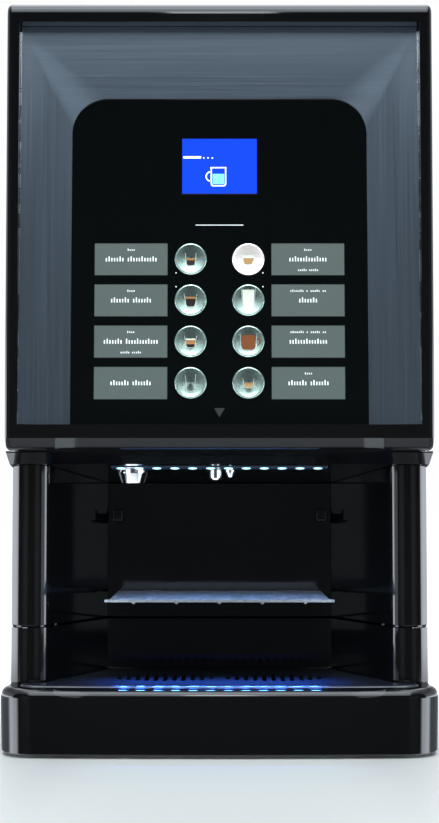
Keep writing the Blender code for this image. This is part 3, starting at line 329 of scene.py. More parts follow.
def gloss(name, colour, roughness, haze=0.03, specular=0.36):
    """Moulded plastic: a faint ripple, and a polish that varies a little."""
    made = Finish(name, colour, roughness, Specular_IOR_Level=specular)
    made.vary_roughness(made.noise(14, 4), haze)
    return made.bump(made.noise(55, 2), 0.00004, 0.35).material


def grained(name, colour, roughness, grain=900, depth=0.00006, metallic=0.0):
    made = Finish(name, colour, roughness, metallic)
    made.vary_roughness(made.noise(25, 4), 0.08)
    made.vary_colour(made.noise(18, 5), 0.85, 1.15)
    return made.bump(made.noise(grain, 2), depth, 0.6).material


def brushed(name, colour, roughness, stretch, depth=0.00003):
    """Metal with grain along the axis that the stretch leaves slow."""
    made = Finish(name, colour, roughness, 1.0)
    grain = made.noise(1.0, 6, stretch)
    made.vary_roughness(grain, 0.10)
    made.vary_colour(grain, 0.80, 1.14)
    return made.bump(grain, depth, 0.7).material


def fascia_finish():
    """Brushed across on the top facet, and upright on the side ones. Painted shade makes the side facets
    darker, and painted light makes the top one lighter.

    The facets are told apart by how far they face sideways.
    """
    made = Finish("fascia_brushed_painted_shade", (0.27, 0.34, 0.42), 0.36, 1.0)
    across = made.noise(1.0, 6, (7, 30, 1500))
    upright = made.noise(1.0, 6, (1500, 30, 7))
    facing = made.node("TexCoord")
    parts = made.node("SeparateXYZ")
    made.links.new(facing.outputs["Normal"], parts.inputs["Vector"])
    sideways = made.node("Math", operation="ABSOLUTE")
    made.links.new(parts.outputs["X"], sideways.inputs[0])
    chosen = made.node("Math", operation="GREATER_THAN")
    chosen.inputs[1].default_value = 0.13
    made.links.new(sideways.outputs[0], chosen.inputs[0])
    grain = made.node("Mix", data_type="FLOAT")
    made.links.new(chosen.outputs[0], grain.inputs["Factor"])
    made.links.new(across, grain.inputs["A"])
    made.links.new(upright, grain.inputs["B"])
    result = grain.outputs["Result"]
    made.vary_roughness(result, 0.04)
    made.vary_colour(result, 0.93, 1.06)
    # Painted light and shade: the base colour is scaled up to 1.12 on the top facet and down to 0.52 on the
    # side facets, standing in for how the light falls on them.
    painted_light_and_shade = made.node("VectorMath", operation="SCALE")
    made.links.new(made.shader.inputs["Base Color"].links[0].from_socket, painted_light_and_shade.inputs[0])
    made.links.new(made.remap(sideways.outputs[0], 0.06, 0.20, 1.12, 0.52), painted_light_and_shade.inputs["Scale"])
    made.links.new(painted_light_and_shade.outputs["Vector"], made.shader.inputs["Base Color"])
    return made.bump(result, 0.000006, 0.4).material


def glowing(name, colour, strength, roughness=0.3, base=None):
    made = Finish(name, base or colour, roughness)
    made.set("Emission Color", (*colour, 1.0))
    made.set("Emission Strength", strength)
    return made.material


def dish_finish(name, colour, emission=0.0):
    """A turned metal dish, whose fine rings draw its highlight out into a bow tie."""
    made = Finish(name, colour, 0.30, 1.0, Anisotropic=0.75)
    tangent = made.node("Tangent", direction_type="RADIAL", axis="Y")
    made.links.new(tangent.outputs["Tangent"], made.shader.inputs["Tangent"])
    made.vary_roughness(made.noise(700, 3), 0.05)
    if emission:
        made.set("Emission Color", (1.0, 0.98, 0.95, 1.0))
        made.set("Emission Strength", emission)
    return made.material


def smoked():
    made = Finish("hopper_smoked", (0.055, 0.038, 0.028), 0.12, Coat_Weight=0.4, Coat_Roughness=0.05)
    return made.vary_roughness(made.noise(20, 3), 0.05).material


LOOKS = {
    "gloss_black": gloss("moulding_gloss_black", (0.0030, 0.0033, 0.0038), 0.07),
    "matt_black": grained("moulding_matt_black", (0.014, 0.014, 0.015), 0.5),
    "brushed_fascia": fascia_finish(),
    "stainless": brushed("stainless_polished", (0.62, 0.64, 0.66), 0.16, (900, 20, 900)),
    "chrome": Finish("nozzle_chrome", (0.78, 0.80, 0.83), 0.05, 1.0).material,
    "zinc_sheet": grained("sheet_zinc", (0.46, 0.47, 0.48), 0.42, 60, 0.00002, 1.0),
    "dark_sheet": grained("sheet_powder_coat", (0.018, 0.019, 0.021), 0.46, 1400, 0.00010),
    "smoked_plastic": smoked(),
    "white_plastic": grained("plastic_natural", (0.70, 0.70, 0.67), 0.42),
    "button_metal": dish_finish("button_dish", (0.44, 0.60, 0.53)),
    "label_window": glowing("label_window_lit", (0.080, 0.108, 0.103), 0.75, 0.35, (0.05, 0.065, 0.062)),
    "screen": glowing("screen_lit", (0.010, 0.070, 0.90), 1.0, 0.08, (0.0, 0.01, 0.15)),
    "led_lens": gloss("lamp_strip", (0.03, 0.05, 0.09), 0.2),
    "circuit_board": grained("board_solder_mask", (0.008, 0.085, 0.030), 0.32, 300, 0.00003),
    "rubber": grained("feet_rubber", (0.018, 0.018, 0.018), 0.78),
    "motor_can": grained("motor_plated", (0.34, 0.34, 0.35), 0.36, 200, 0.00002, 1.0),
}
PANEL_GLASS = gloss("panel_gloss", (0.0020, 0.0028, 0.0030), 0.045, 0.012, 0.24)
DRAIN_PLATE = gloss("drain_plate_satin", (0.010, 0.012, 0.018), 0.20, 0.05, 0.5)
LAMP = glowing("lamp_lens_lit", (0.46, 0.80, 1.0), 1.7)
SHELF_METAL = brushed("shelf_brushed", (0.50, 0.55, 0.62), 0.46, (700, 25, 700))
SCREEN_CASE = grained("screen_case", (0.012, 0.012, 0.013), 0.4)
PRINT = glowing("print_white", (0.72, 0.76, 0.78), 0.55, 0.5)
PRINT_GREY = Finish("print_grey", (0.035, 0.036, 0.037), 0.4).material
EDGE_METAL = brushed("edge_metal", (0.42, 0.47, 0.52), 0.28, (60, 60, 60))


# ---- Drip drawer: skirt, rim and lower columns ----
def ceiling_height(y):
    return CEILING_AT_BACK + CEILING_SLOPE * (BAY_BACK - y)


def skirt_outline(inset):
    """The drawer's plan: a bowed front, round front corners and straight sides, moved in by the inset."""
    steps = 20
    bow = []
    for i in range(1, 2 * steps):
        x = CORNER_X * (i / steps - 1)
        bow.append((x, FRONT + inset + SKIRT_BOW * (x / CORNER_X) ** 2))
    right = arc(CORNER_X, CORNER_Y, SKIRT_CORNER - inset, -90, 0, 16)
    side = HALF_WIDTH - inset
    return mirrored_x(right) + bow + right + [(side, DOOR_BACK), (-side, DOOR_BACK)]


def column_plan(outer_x, wall=0.0):
    """The right-hand column seen from above; a wall thickness gives the hollow inside it."""
    back_x, back_y = BAY_HALF - NOSE_X, BAY_BACK - NOSE_Y
    tangent = degrees(atan2(back_y, back_x) + acos(NOSE_RADIUS / hypot(back_x, back_y)))
    nose = arc(NOSE_X, NOSE_Y, NOSE_RADIUS - wall, tangent, 360, 40)
    nose[-1] = (outer_x - wall, NOSE_Y)
    if wall:
        rear = DOOR_BACK + 0.01
        return nose + [(outer_x - wall, rear), (BAY_HALF + wall, rear), (BAY_HALF + wall, BAY_BACK - 0.001)]
    chamfer = 0.006
    return nose + [(outer_x, DOOR_BACK - chamfer), (outer_x - chamfer, DOOR_BACK),
                   (BAY_HALF, DOOR_BACK), (BAY_HALF, BAY_BACK)]


def lip_plan():
    """A narrow strip set in from the right-hand column's outside, which closes the seam under it."""
    def edge(inset):
        path = arc(NOSE_X, NOSE_Y, NOSE_RADIUS - inset, 190, 360, 30)
        return path + [(DOOR_X - inset, -0.140)]
    return edge(0.0010) + edge(0.0025)[::-1]


def on_side(plan, side):
    return plan if side > 0 else mirrored_x(plan)


def grille_plan(inset):
    """Wide in front of the columns' noses, narrow between them."""
    nose_front = NOSE_Y - NOSE_RADIUS
    front = FRONT + RIM_WIDTH + inset
    steps = 12
    right = arc(CORNER_X, CORNER_Y, SKIRT_CORNER - RIM_WIDTH - inset, -90, -10, steps)
    right += [(0.184 - inset, nose_front - 0.006 - inset),
              (NOSE_X - 0.012 - inset, nose_front - 0.005 - inset),
              (NOSE_X - NOSE_RADIUS - 0.003 - inset, NOSE_Y),
              (BAY_HALF - 0.003 - inset, BAY_BACK - 0.002 - inset)]
    bow = [(CORNER_X * i / steps, front + SKIRT_BOW * (i / steps) ** 2) for i in range(1 - steps, steps)]
    return bow + right + mirrored_x(right)


def rolled(height, inset, radius, step):
    """Heights and insets that round an upright edge over to level, in steps of so many degrees."""
    angles = [radians(a) for a in range(step, 91, step)]
    return [(height + radius * sin(a), inset + radius * (1 - cos(a))) for a in angles]


def make_drawer():
    """One moulding: skirt with a round shoulder, basin, lower columns and wall, and the sled it slides on."""
    radius, draft = RIM_TOP - SKIRT_SHOULDER, 0.0012
    rings = [(DRAWER_LOW.z, 2 * draft), (DRAWER_LOW.z + draft, draft), (SKIRT_SHOULDER, 0.0)]
    rings += rolled(SKIRT_SHOULDER, 0.0, radius, 6)
    drawer = loft("drawer_moulding", [[(x, y, z) for x, y in skirt_outline(inset)] for z, inset in rings],
                  LOOKS["gloss_black"])
    outer_x, top = DOOR_X + 0.0006, DRAWER_HIGH.z
    walls = []
    for side in (1, -1):
        plan = on_side(column_plan(outer_x), side)
        hollow = on_side(column_plan(outer_x, SHELL), side)
        column = prism("column", plan, RIM_TOP - 0.004, top)
        walls.append(cut(column, prism("hollow", hollow, RIM_TOP - 0.001, top - SHELL)))
    walls.append(block("wall", (-BAY_HALF - 0.002, BAY_BACK, RIM_TOP - 0.004),
                       (BAY_HALF + 0.002, BAY_BACK + SHELL, top)))
    sled_front, sled_back, sled_x = DOOR_BACK - 0.010, 0.060, 0.150
    sled = block("sled", (-sled_x, sled_front, 0.0125), (sled_x, sled_back, 0.0155))
    runner_x, half = sled_x - 0.002, 0.002
    runners = [block("runner", (side * runner_x - half, sled_front, 0.013),
                     (side * runner_x + half, sled_back, 0.030)) for side in (-1, 1)]
    drawer = fuse(drawer, *walls, sled, *runners)
    under = block("under", (-0.176, -0.242, -0.01), (0.176, -0.09, 0.0122))
    seat = prism("seat", grille_plan(-0.0006), GRILLE_LOW.z - 0.0003, 0.08)
    basin = prism("basin", grille_plan(0.006), TRAY_FLOOR, 0.08)
    return softened(cut(drawer, under, seat, basin), 0.0007, 2)


def make_tray_grille():
    """A lift-out plate with two eye-shaped fields of drain slots, rolled over along its front."""
    low, high = GRILLE_LOW.z, GRILLE_HIGH.z
    edge, gap = 0.0004, 0.0002
    roll = high - low - edge
    rings = [(low, gap), (low + edge, gap)]
    rings += rolled(low + edge, gap, roll, 9)
    loops = [[(x, y, z) for x, y in grille_plan(inset)] for z, inset in rings]
    grille = loft("drain_plate", loops, DRAIN_PLATE)
    field_x, field_y, pitch, longest, width = 0.052, -0.190, 0.0088, 0.058, 0.0042
    slots = []
    for side in (-1, 1):
        for i in range(-5, 6):
            length = longest * (1 - (i / 6.2) ** 2) ** 0.5
            outline = [(x, y) for y, x in slot(field_y, side * field_x + i * pitch, length, width, 6)]
            slots.append(prism("slot", outline[::-1], low - 0.01, high + 0.01))
    return softened(cut(grille, cluster("slots", slots)), 0.0, 1)


# ---- Cup bay ----
def pin_hole(low, high):
    """A cutter for one of the holes that the door's hinge pins turn in."""
    return prism("pin_hole", circle(HINGE_X, HINGE_Y, PIN_HOLE, 24), low, high)


def make_bay_sides():
    """The bay's side walls, each rounded into a hollow column in front and cut to the ceiling's slope."""
    made, low = {}, SIDE_LOW.z
    for name, side in (("bay_side_right", 1), ("bay_side_left", -1)):
        plan = on_side(column_plan(DOOR_X), side)
        hollow = on_side(column_plan(DOOR_X, SHELL), side)
        body = loft(name + "_moulding", [[(x, y, low) for x, y in plan],
                                         [(x, y, ceiling_height(y) - 0.0003) for x, y in plan]],
                    LOOKS["gloss_black"])
        core = loft("core", [[(x, y, low + SHELL) for x, y in hollow],
                             [(x, y, ceiling_height(y) - SHELL) for x, y in hollow]])
        body = fuse(body, prism("lip", on_side(lip_plan(), side), low - 0.0019, low + 0.001))
        hinge_side = side * HINGE_X > 0
        cutters = [core, pin_hole(low - 0.01, low + 0.01)] if hinge_side else [core]
        made[name] = softened(cut(body, *cutters), 0.0004, 2)
    return made


def make_back_wall():
    """The wall behind the cup, with two J-shaped hooks and two slots for the shelf's tongues."""
    low, high = WALL_LOW.z, WALL_HIGH.z
    wall = block("bay_wall", (WALL_LOW.x, BAY_BACK, low), (WALL_HIGH.x, BAY_BACK + SHELL, high),
                 LOOKS["gloss_black"])
    profile = [(BAY_BACK + out, z) for out, z in (
        (0.001, 0.2215), (-0.0075, 0.2215), (-0.009, 0.2228), (-0.009, 0.2255),
        (-0.0115, 0.2255), (-0.0115, 0.2150), (-0.0095, 0.2130), (0.001, 0.2105))]
    hooks, slots = [], []
    for side in (-1, 1):
        x = side * HOOK_X
        hooks.append(softened(prism("hook", profile, x - 0.005, x + 0.005, along="X"), 0.0008))
        x = side * TONGUE_X
        slots.append(block("slot", (x - 0.0115, -0.13, 0.1405), (x + 0.0115, -0.10, 0.1441)))
    return softened(cut(fuse(wall, cluster("hooks", hooks)), cluster("slots", slots)), 0.0004, 2)


NOZZLES = {
    # node: outer profile from the tip up (radius, height), bore radius
    "hot_water_nozzle": ((
        (0.0062, 0.2521), (0.0105, 0.2520), (0.01175, 0.2524), (0.0122, 0.2535), (0.0151, 0.2618),
        (0.01525, 0.2630), (0.01525, 0.2709), (0.0166, 0.2711), (0.0168, 0.2716), (0.0168, 0.2728),
        (0.010, 0.2730), (0.010, 0.290)), 0.0055),
    "coffee_spout": ((
        (0.0040, 0.2556), (0.0048, 0.2555), (0.0052, 0.2560), (0.0064, 0.2586), (0.0065, 0.2695),
        (0.0079, 0.2697), (0.0080, 0.2710), (0.0066, 0.2712), (0.0065, 0.290)), 0.0035),
    "milk_spout": ((
        (0.0018, 0.2581), (0.0024, 0.2580), (0.0028, 0.2585), (0.0059, 0.2661), (0.0060, 0.2740),
        (0.0072, 0.2742), (0.0072, 0.2755), (0.0056, 0.2756), (0.0055, 0.290)), 0.0014),
}


def make_nozzles():
    made = {}
    for name, (profile, bore) in NOZZLES.items():
        centre = middle(name)
        shape = [*profile, (bore, profile[-1][1]), (bore, profile[0][1] + 0.0003)]
        place = Matrix.Translation((centre.x, centre.y, 0))
        made[name] = softened(turned(name + "_turned", shape, place, LOOKS["chrome"], 72, ring=True), 0.0)
    return made


CEILING_TILT = Matrix.Rotation(-asin(CEILING_SLOPE / (1 + CEILING_SLOPE ** 2) ** 0.5), 4, "X")
LED_Y = (LED_LOW.y + LED_HIGH.y) / 2
LED_FRAME = Matrix.Translation((0, LED_Y, ceiling_height(LED_Y))) @ CEILING_TILT


def led_places():
    return [LED_PITCH * (i - (LED_COUNT - 1) / 2) for i in range(LED_COUNT)]


def make_lamps():
    """A dark strip, and twelve domed lenses that stand out of it."""
    bar = block("lamp_strip", (-0.104, -0.0065, -0.0008), (0.104, 0.0065, 0.0020), LOOKS["led_lens"])
    bar = softened(bar, 0.0004)
    dome = [(LED_RADIUS * sin(radians(a)) + 0.0001, -0.0004 - 0.0012 * cos(radians(a)))
            for a in range(0, 91, 15)]
    dome.append((LED_RADIUS + 0.0001, 0.0004))
    lenses = [turned("lens", dome, Matrix.Translation((x, 0, 0)), LAMP, 40) for x in led_places()]
    lenses = softened(cluster("lamp_lenses", lenses, LAMP), 0.0)
    return placed(bar, LED_FRAME), placed(lenses, LED_FRAME)


def make_shelf():
    """A polished plate with a tip at each front corner, beads under its front edge and two tongues behind."""
    high, low = SHELF_HIGH.z, SHELF_HIGH.z - 0.0024
    x, front, back = SHELF_HIGH.x - 0.0045, SHELF_LOW.y, SHELF_HIGH.y - 0.0108
    right = [(x + 0.0045, front), (x, front + 0.007), (x, back)]
    plate = prism("shelf_plate", right + mirrored_x(right), low, high, SHELF_METAL)
    tongues = [block("tongue", (side * TONGUE_X - 0.010, back - 0.001, low + 0.00002),
                     (side * TONGUE_X + 0.010, back + 0.0108, high - 0.00002)) for side in (-1, 1)]
    beads = [prism("bead", circle(a, low, 0.0017, 24), front + 0.0003, front + 0.005, along="Y")
             for a in (-0.080, -0.040, 0.0, 0.040, 0.080)]
    return softened(fuse(plate, *tongues, cluster("beads", beads)), 0.0005, 2)


# ---- Door head ----
def make_head():
    """The head's shell, one moulding with soft edges: front bezel, top, sides and chin, open at the rear."""
    low, high = HEAD_LOW.z, HEAD_HIGH.z
    top_round = arc(DOOR_FACE + TOP_ROUND, high - TOP_ROUND, TOP_ROUND, 180, 90, 12)
    profile = [(DOOR_BACK, low), (DOOR_FACE + CHIN_DEPTH, low), (DOOR_FACE, low + CHIN_RISE),
               *top_round, (DOOR_BACK, high)]
    head = prism("head_moulding", profile, -DOOR_X, DOOR_X, LOOKS["gloss_black"], "X")
    head = softened(head, 0.0050, 6, 45)
    gap, behind = 0.0003, DOOR_BACK + 0.01
    inside = block("inside", (-DOOR_X + SHELL, -0.249, low + SHELL), (DOOR_X - SHELL, behind, high - SHELL))
    window = block("window", (-FASCIA_X - gap, -0.30, FASCIA_LOW.z - gap),
                   (FASCIA_X + gap, -0.20, FASCIA_HIGH.z + gap))
    floor_gap = block("floor_gap", (-0.112, -0.235, 0.20), (0.112, behind, 0.30))
    lug = block("lug", (-DOOR_X + 0.001, -0.124, 0.664), (-0.176, -0.104, 0.674))
    arm_notch = block("arm_notch", (-0.21, -0.128, 0.6755), (-0.196, behind, 0.6845))
    corner = prism("corner", [(-DOOR_X - 0.010, DOOR_BACK - 0.0165), (-0.1835, DOOR_BACK + 0.010),
                              (-DOOR_X - 0.010, DOOR_BACK + 0.010)], low - 0.1, high + 0.1)
    lock_hole = prism("lock_hole", circle(LOCK_Y, LOCK_Z, 0.0083, 40), 0.19, 0.21, along="X")
    head = fuse(cut(head, inside, window, floor_gap), lug)
    return softened(cut(head, pin_hole(0.66, 0.68), arm_notch, corner, lock_hole), 0.0004, 2)


def fascia_edges(corner_steps=24):
    """Matching points (x, height) on the fascia's outer edge and on its edge round the panel."""
    top = FASCIA_HIGH.z - FASCIA_LOW.z
    corner = arc(PANEL_X - PANEL_CORNER, PANEL_LENGTH - PANEL_CORNER, PANEL_CORNER, 0, 90, corner_steps)
    right_inner = [(PANEL_X, 0.0), *corner]
    right_outer = [(FASCIA_X, 0.0)] + [(FASCIA_X, top)] * len(corner)
    outer = [(-x, z) for x, z in right_outer] + right_outer[::-1]
    inner = [(-x, z) for x, z in right_inner] + right_inner[::-1]
    return outer, inner


def fascia_point(x, z, depth):
    lean = FASCIA_RECESS / (FASCIA_HIGH.z - FASCIA_LOW.z)
    return Vector((x, FASCIA_FRONT + lean * z + depth, FASCIA_LOW.z + z))


def make_fascia():
    """Three brushed facets that fall from the bezel to the panel, with cone-shaped corners."""
    outer, inner = fascia_edges()
    shape, thick = bmesh.new(), 0.0025
    rows = []
    for (ox, oz), (ix, iz) in zip(outer, inner):
        section = [fascia_point(ox, oz, 0), fascia_point(ix, iz, PANEL_RECESS),
                   fascia_point(ix, iz, PANEL_RECESS + thick), fascia_point(ox, oz, thick)]
        rows.append([shape.verts.new(point) for point in section])
    for low, high in zip(rows, rows[1:]):
        for i in range(4):
            j = (i + 1) % 4
            shape.faces.new((low[i], low[j], high[j], high[i]))
    shape.faces.new(rows[0])
    shape.faces.new(rows[-1])
    bmesh.ops.remove_doubles(shape, verts=shape.verts, dist=TINY)
    bmesh.ops.triangulate(shape, faces=shape.faces)
    made = from_bmesh("fascia_plate", shape, LOOKS["brushed_fascia"])
    made.data.set_sharp_from_angle(angle=radians(20))
    return made


# ---- Control panel ----
INTO_PANEL = Matrix.Rotation(-pi / 2, 4, "X")       # turns a profile's height into depth behind the panel
DISH = (        # the button's face: radius, depth
    (0.0003, -0.00012), (0.0020, -0.00016), (0.0040, -0.00030), (0.0090, -0.00080),
    (BUTTON_RADIUS - 0.0022, -0.00160), (BUTTON_RADIUS - 0.0015, -0.00188),
    (BUTTON_RADIUS - 0.0010, -0.00190), (BUTTON_RADIUS - 0.0004, -0.00172), (BUTTON_RADIUS, -0.00130))


def to_panel(point):
    return PANEL_FRAME.inverted() @ point


BUTTON_PLACES = {n: to_panel(middle(f"button_{n}")) for n in range(1, 9)}
DISPLAY_CENTRE = to_panel(middle("display"))


def label_centre(place):
    """The x of the label window beside a button."""
    return LABEL_X if place.x > 0 else -LABEL_X


def dish_depth(distance):
    """Depth of the button's face at a distance from its middle."""
    for (r0, d0), (r1, d1) in zip(DISH, DISH[1:]):
        if distance <= r1:
            return d0 + (d1 - d0) * max(0.0, distance - r0) / (r1 - r0)
    return DISH[-1][1]


def make_panel():
    """The gloss panel, with holes for the buttons, the label windows and the screen."""
    gap = 0.0004
    _, edge = fascia_edges(32)
    outline = [(x * (1 - gap / PANEL_X), max(z - gap, 0.0)) for x, z in edge]
    panel = prism("panel_glass", outline, 0, PANEL_THICK, PANEL_GLASS, "Y")
    shapes = []
    for place in BUTTON_PLACES.values():
        shapes.append(circle(place.x, place.z, BUTTON_RADIUS + gap, 72))
        shapes.append(rectangle(label_centre(place), place.z, LABEL_WIDTH, LABEL_HEIGHT))
    width = DISPLAY_HIGH.x - DISPLAY_LOW.x + 2 * gap
    shapes.append(rectangle(0, DISPLAY_CENTRE.z, width, width * SCREEN_ASPECT))
    holes = [prism("hole", shape, -0.01, 0.01, along="Y") for shape in shapes]
    return placed(softened(cut(panel, cluster("holes", holes)), 0.00025, 2), PANEL_FRAME)


def make_button(number):
    place = BUTTON_PLACES[number]
    back = PANEL_THICK + 0.0003
    flange, flange_back, stem = BUTTON_RADIUS + 0.0025, 0.0045, 0.005
    profile = [*DISH, (BUTTON_RADIUS, back), (flange, back), (flange, flange_back),
               (stem, flange_back), (stem, 0.0062)]
    finish = LOOKS["button_metal"]
    if number == LIT_BUTTON:
        finish = dish_finish("button_dish_lit", (0.92, 0.93, 0.92), 0.55)
    cap = turned(f"button_cap_{number}", profile, INTO_PANEL, finish, 96)
    return placed(softened(cap, 0.0), PANEL_FRAME @ Matrix.Translation((place.x, 0, place.z)))


def stroke(points, width, depth, finish, closed=False):
    """A flat printed line along (x, z) points, laid on a surface whose depth is given for each point."""
    loops, count = [], len(points)
    for i, (x, z) in enumerate(points):
        before = points[i - 1] if closed or i else points[0]
        after = points[(i + 1) % count] if closed or i < count - 1 else points[-1]
        along = Vector((after[0] - before[0], after[1] - before[1])).normalized()
        a, b = -along.y * width / 2, along.x * width / 2
        front, back = depth(x, z) - HAIR, depth(x, z) + HAIR / 2
        loops.append([(x - a, front, z - b), (x + a, front, z + b),
                      (x + a, back, z + b), (x - a, back, z - b)])
    return loft("stroke", loops, finish, ring=closed)


def patch(outline, depth, finish):
    """A flat printed area inside (x, z) points."""
    loops = [[(x, depth(x, z) + shift, z) for x, z in outline] for shift in (-HAIR, HAIR / 2)]
    return loft("patch", loops, finish)


def line(points, width, finish, depth=0.0):
    return stroke(points, width, lambda x, z: depth, finish)


DRINKS = {
    # number: (glass half width at top, at bottom, height, [(fill from, fill to, colour)])
    1: (0.0042, 0.0034, 0.0098, [(0.0, 0.42, "coffee"), (0.42, 0.58, "crema")]),
    2: (0.0050, 0.0034, 0.0100, [(0.0, 0.62, "coffee"), (0.62, 0.78, "crema")]),
    3: (0.0046, 0.0034, 0.0092, [(0.0, 0.28, "coffee"), (0.28, 0.64, "crema"), (0.64, 0.76, "foam")]),
    4: (0.0040, 0.0030, 0.0130, []),
    5: (0.0056, 0.0034, 0.0084, [(0.0, 0.60, "milky"), (0.60, 0.86, "foam")]),
    6: (0.0054, 0.0042, 0.0190, [(0.0, 0.94, "foam")]),
    7: (0.0064, 0.0060, 0.0130, [(0.0, 0.90, "cocoa")]),
    8: (0.0044, 0.0032, 0.0076, [(0.0, 0.36, "milky"), (0.36, 0.52, "crema")]),
}
PICTURE_SCALE = 1.22
MUG_BUTTON = 7           # this drink's glass has a handle
INKS = {
    "coffee": Finish("ink_coffee", (0.012, 0.005, 0.003), 0.4).material,
    "crema": Finish("ink_crema", (0.42, 0.20, 0.07), 0.4).material,
    "milky": Finish("ink_milky", (0.50, 0.30, 0.12), 0.4).material,
    "cocoa": Finish("ink_cocoa", (0.22, 0.065, 0.015), 0.4).material,
    "foam": Finish("ink_foam", (0.80, 0.84, 0.72), 0.4).material,
    "glass": Finish("ink_glass", (0.62, 0.70, 0.66), 0.35).material,
}


def make_drink(number):
    """A small printed glass on the button's dish: its outline, and its filling in bands."""
    *sizes, bands = DRINKS[number]
    top, bottom, height = (PICTURE_SCALE * size for size in sizes)
    place = BUTTON_PLACES[number]
    low = -height * 0.52

    def width_at(share):
        rounding = min(1.0, share / 0.22)
        return (bottom + (top - bottom) * share) * (0.55 + 0.45 * (1 - (1 - rounding) ** 2) ** 0.5)

    def ink_depth(x, z):
        return dish_depth(hypot(x, z)) - HAIR

    pieces = []
    for start, end, ink in bands:
        shares = [start + (end - start) * i / 8 for i in range(9)]
        right = [(width_at(s) * 0.88, low + height * s) for s in shares]
        pieces.append((ink, patch(right + mirrored_x(right), ink_depth, INKS[ink])))
    shares = [i / 14 for i in range(15)]
    side = [(width_at(s), low + height * s) for s in shares]
    pieces.append(("glass", stroke(mirrored_x(side) + side, 0.0004, ink_depth, INKS["glass"])))
    if number == MUG_BUTTON:
        handle = arc(top, low + height * 0.52, 0.0032, -75, 75, 12)
        pieces.append(("cocoa", stroke(handle, 0.0012, ink_depth, INKS["cocoa"])))
    here = PANEL_FRAME @ Matrix.Translation((place.x, 0, place.z))
    made = []
    for ink in dict.fromkeys(ink for ink, _ in pieces):
        parts = [piece for name, piece in pieces if name == ink]
        made.append(placed(cluster(f"picture_{number}_{ink}", parts, INKS[ink]), here))
    return made


def make_label_marks():
    """Rows of short upright dashes where a label would carry words; each number is a word's length."""
    words = {1: (5, 8), 2: (5, 5), 3: (5, 9), 4: (5, 5), 5: (10,), 6: (5,), 7: (10,), 8: (5, 5)}
    above = {1: (4,), 2: (4,), 3: (4,), 5: (4,), 6: (7, 1, 5, 2), 7: (7, 1, 5, 2), 8: (4,)}
    below = {3: (5, 5), 5: (5, 5)}
    face, marks = 0.0004, []

    def row(centre, z, counts, height, pitch):
        """Each count is one word, drawn as that many upright dashes, a few of them taller."""
        total = pitch * (sum(counts) + len(counts) - 1)
        start = centre - total / 2
        for count in counts:
            for i in range(count):
                tall = 1.4 if (i * 5 + count) % 4 == 0 else 1.0
                x, low = start + pitch * (i + 0.5), z - height / 2
                dash = rectangle(x, low + height * tall / 2, pitch * 0.46, height * tall)
                marks.append(patch(dash, lambda x, z: face, PRINT))
            start += pitch * (count + 1)

    for number, place in BUTTON_PLACES.items():
        centre = label_centre(place)
        row(centre, place.z - 0.0004, [round(1.35 * count) for count in words[number]], 0.0034, 0.0026)
        if number in above:
            row(centre, place.z + 0.0088, above[number], 0.0015, 0.0019)
        if number in below:
            row(centre, place.z - 0.0105, below[number], 0.0016, 0.0018)
    return placed(cluster("label_marks", marks, PRINT), PANEL_FRAME)


def make_display():
    """The screen's dark case, and the lit face on its front."""
    width = DISPLAY_HIGH.x - DISPLAY_LOW.x
    height, margin, front = width * SCREEN_ASPECT, 0.0004, 0.0007
    case = prism("screen_case", rectangle(0, DISPLAY_CENTRE.z, width, height), front, front + 0.0104,
                 SCREEN_CASE, "Y")
    face = prism("screen_face", rectangle(0, DISPLAY_CENTRE.z, width - margin, height - margin),
                 SCREEN_FACE, 0.00075, LOOKS["screen"], "Y")
    return placed(softened(case, 0.0003, 2), PANEL_FRAME), placed(face, PANEL_FRAME)


def make_display_marks():
    """A white-lined mug with a pale filling, and a bar and three dots above it, on the lit screen."""
    x, z = DISPLAY_CENTRE.x - 0.0010, DISPLAY_CENTRE.z - 0.0105
    half, low, high = 0.0068, z - 0.0085, z + 0.0090
    rounding, width, overhang = 0.0020, 0.0011, 0.0008
    cup = [(x - half, high), (x - half, low + rounding),
           *arc(x - half + rounding, low + rounding, rounding, 180, 270, 5),
           *arc(x + half - rounding, low + rounding, rounding, -90, 0, 5), (x + half, high)]
    brim = [(x - half - overhang, high), (x + half + overhang, high)]
    handle = arc(x - half - 0.0003, z + 0.0005, 0.0046, 105, 255, 12)
    lines = [line(cup, width, PRINT, SCREEN_FACE), line(brim, width, PRINT, SCREEN_FACE),
             line(handle, 0.0012, PRINT, SCREEN_FACE)]
    bar_z, dot = DISPLAY_CENTRE.z + 0.0085, 0.0012
    lines.append(line([(-0.0345, bar_z), (-0.0175, bar_z)], 0.0021, PRINT, SCREEN_FACE))
    for start in (-0.0155, -0.0115, -0.0075):
        dot_z = bar_z - dot / 2
        lines.append(line([(start, dot_z), (start + dot, dot_z)], dot, PRINT, SCREEN_FACE))
    white = glowing("screen_white", (0.85, 0.93, 1.0), 1.0)
    cyan = glowing("screen_cyan", (0.16, 0.60, 1.0), 0.95)
    left, right, bottom, top = x - half + 0.0013, x + half - 0.0013, low + 0.0016, z + 0.0030
    fill = patch([(left, bottom), (right, bottom), (right, top), (left, top)], lambda x, z: SCREEN_FACE, cyan)
    mug = placed(cluster("screen_lines", lines, white), PANEL_FRAME)
    return mug, placed(cluster("screen_fill", [fill], cyan), PANEL_FRAME)


def make_panel_marks():
    """The plain line under the screen, four tiny dots by the upper buttons and the small arrow."""
    rule_z = DISPLAY_CENTRE.z - 0.0570
    rule = line([(-0.0225, rule_z), (0.0225, rule_z)], 0.0007, PRINT)
    dots = [patch(circle(x, z, 0.0006, 14), lambda x, z: 0.0, PRINT)
            for x in (-0.0410, 0.0410) for z in (0.1437, 0.1305)]
    arrow = patch([(0.0, 0.0070), (0.0050, 0.0155), (-0.0050, 0.0155)], lambda x, z: 0.0, PRINT_GREY)
    return (placed(cluster("panel_marks", [rule, *dots], PRINT), PANEL_FRAME),
            placed(cluster("panel_arrow", [arrow], PRINT_GREY), PANEL_FRAME))


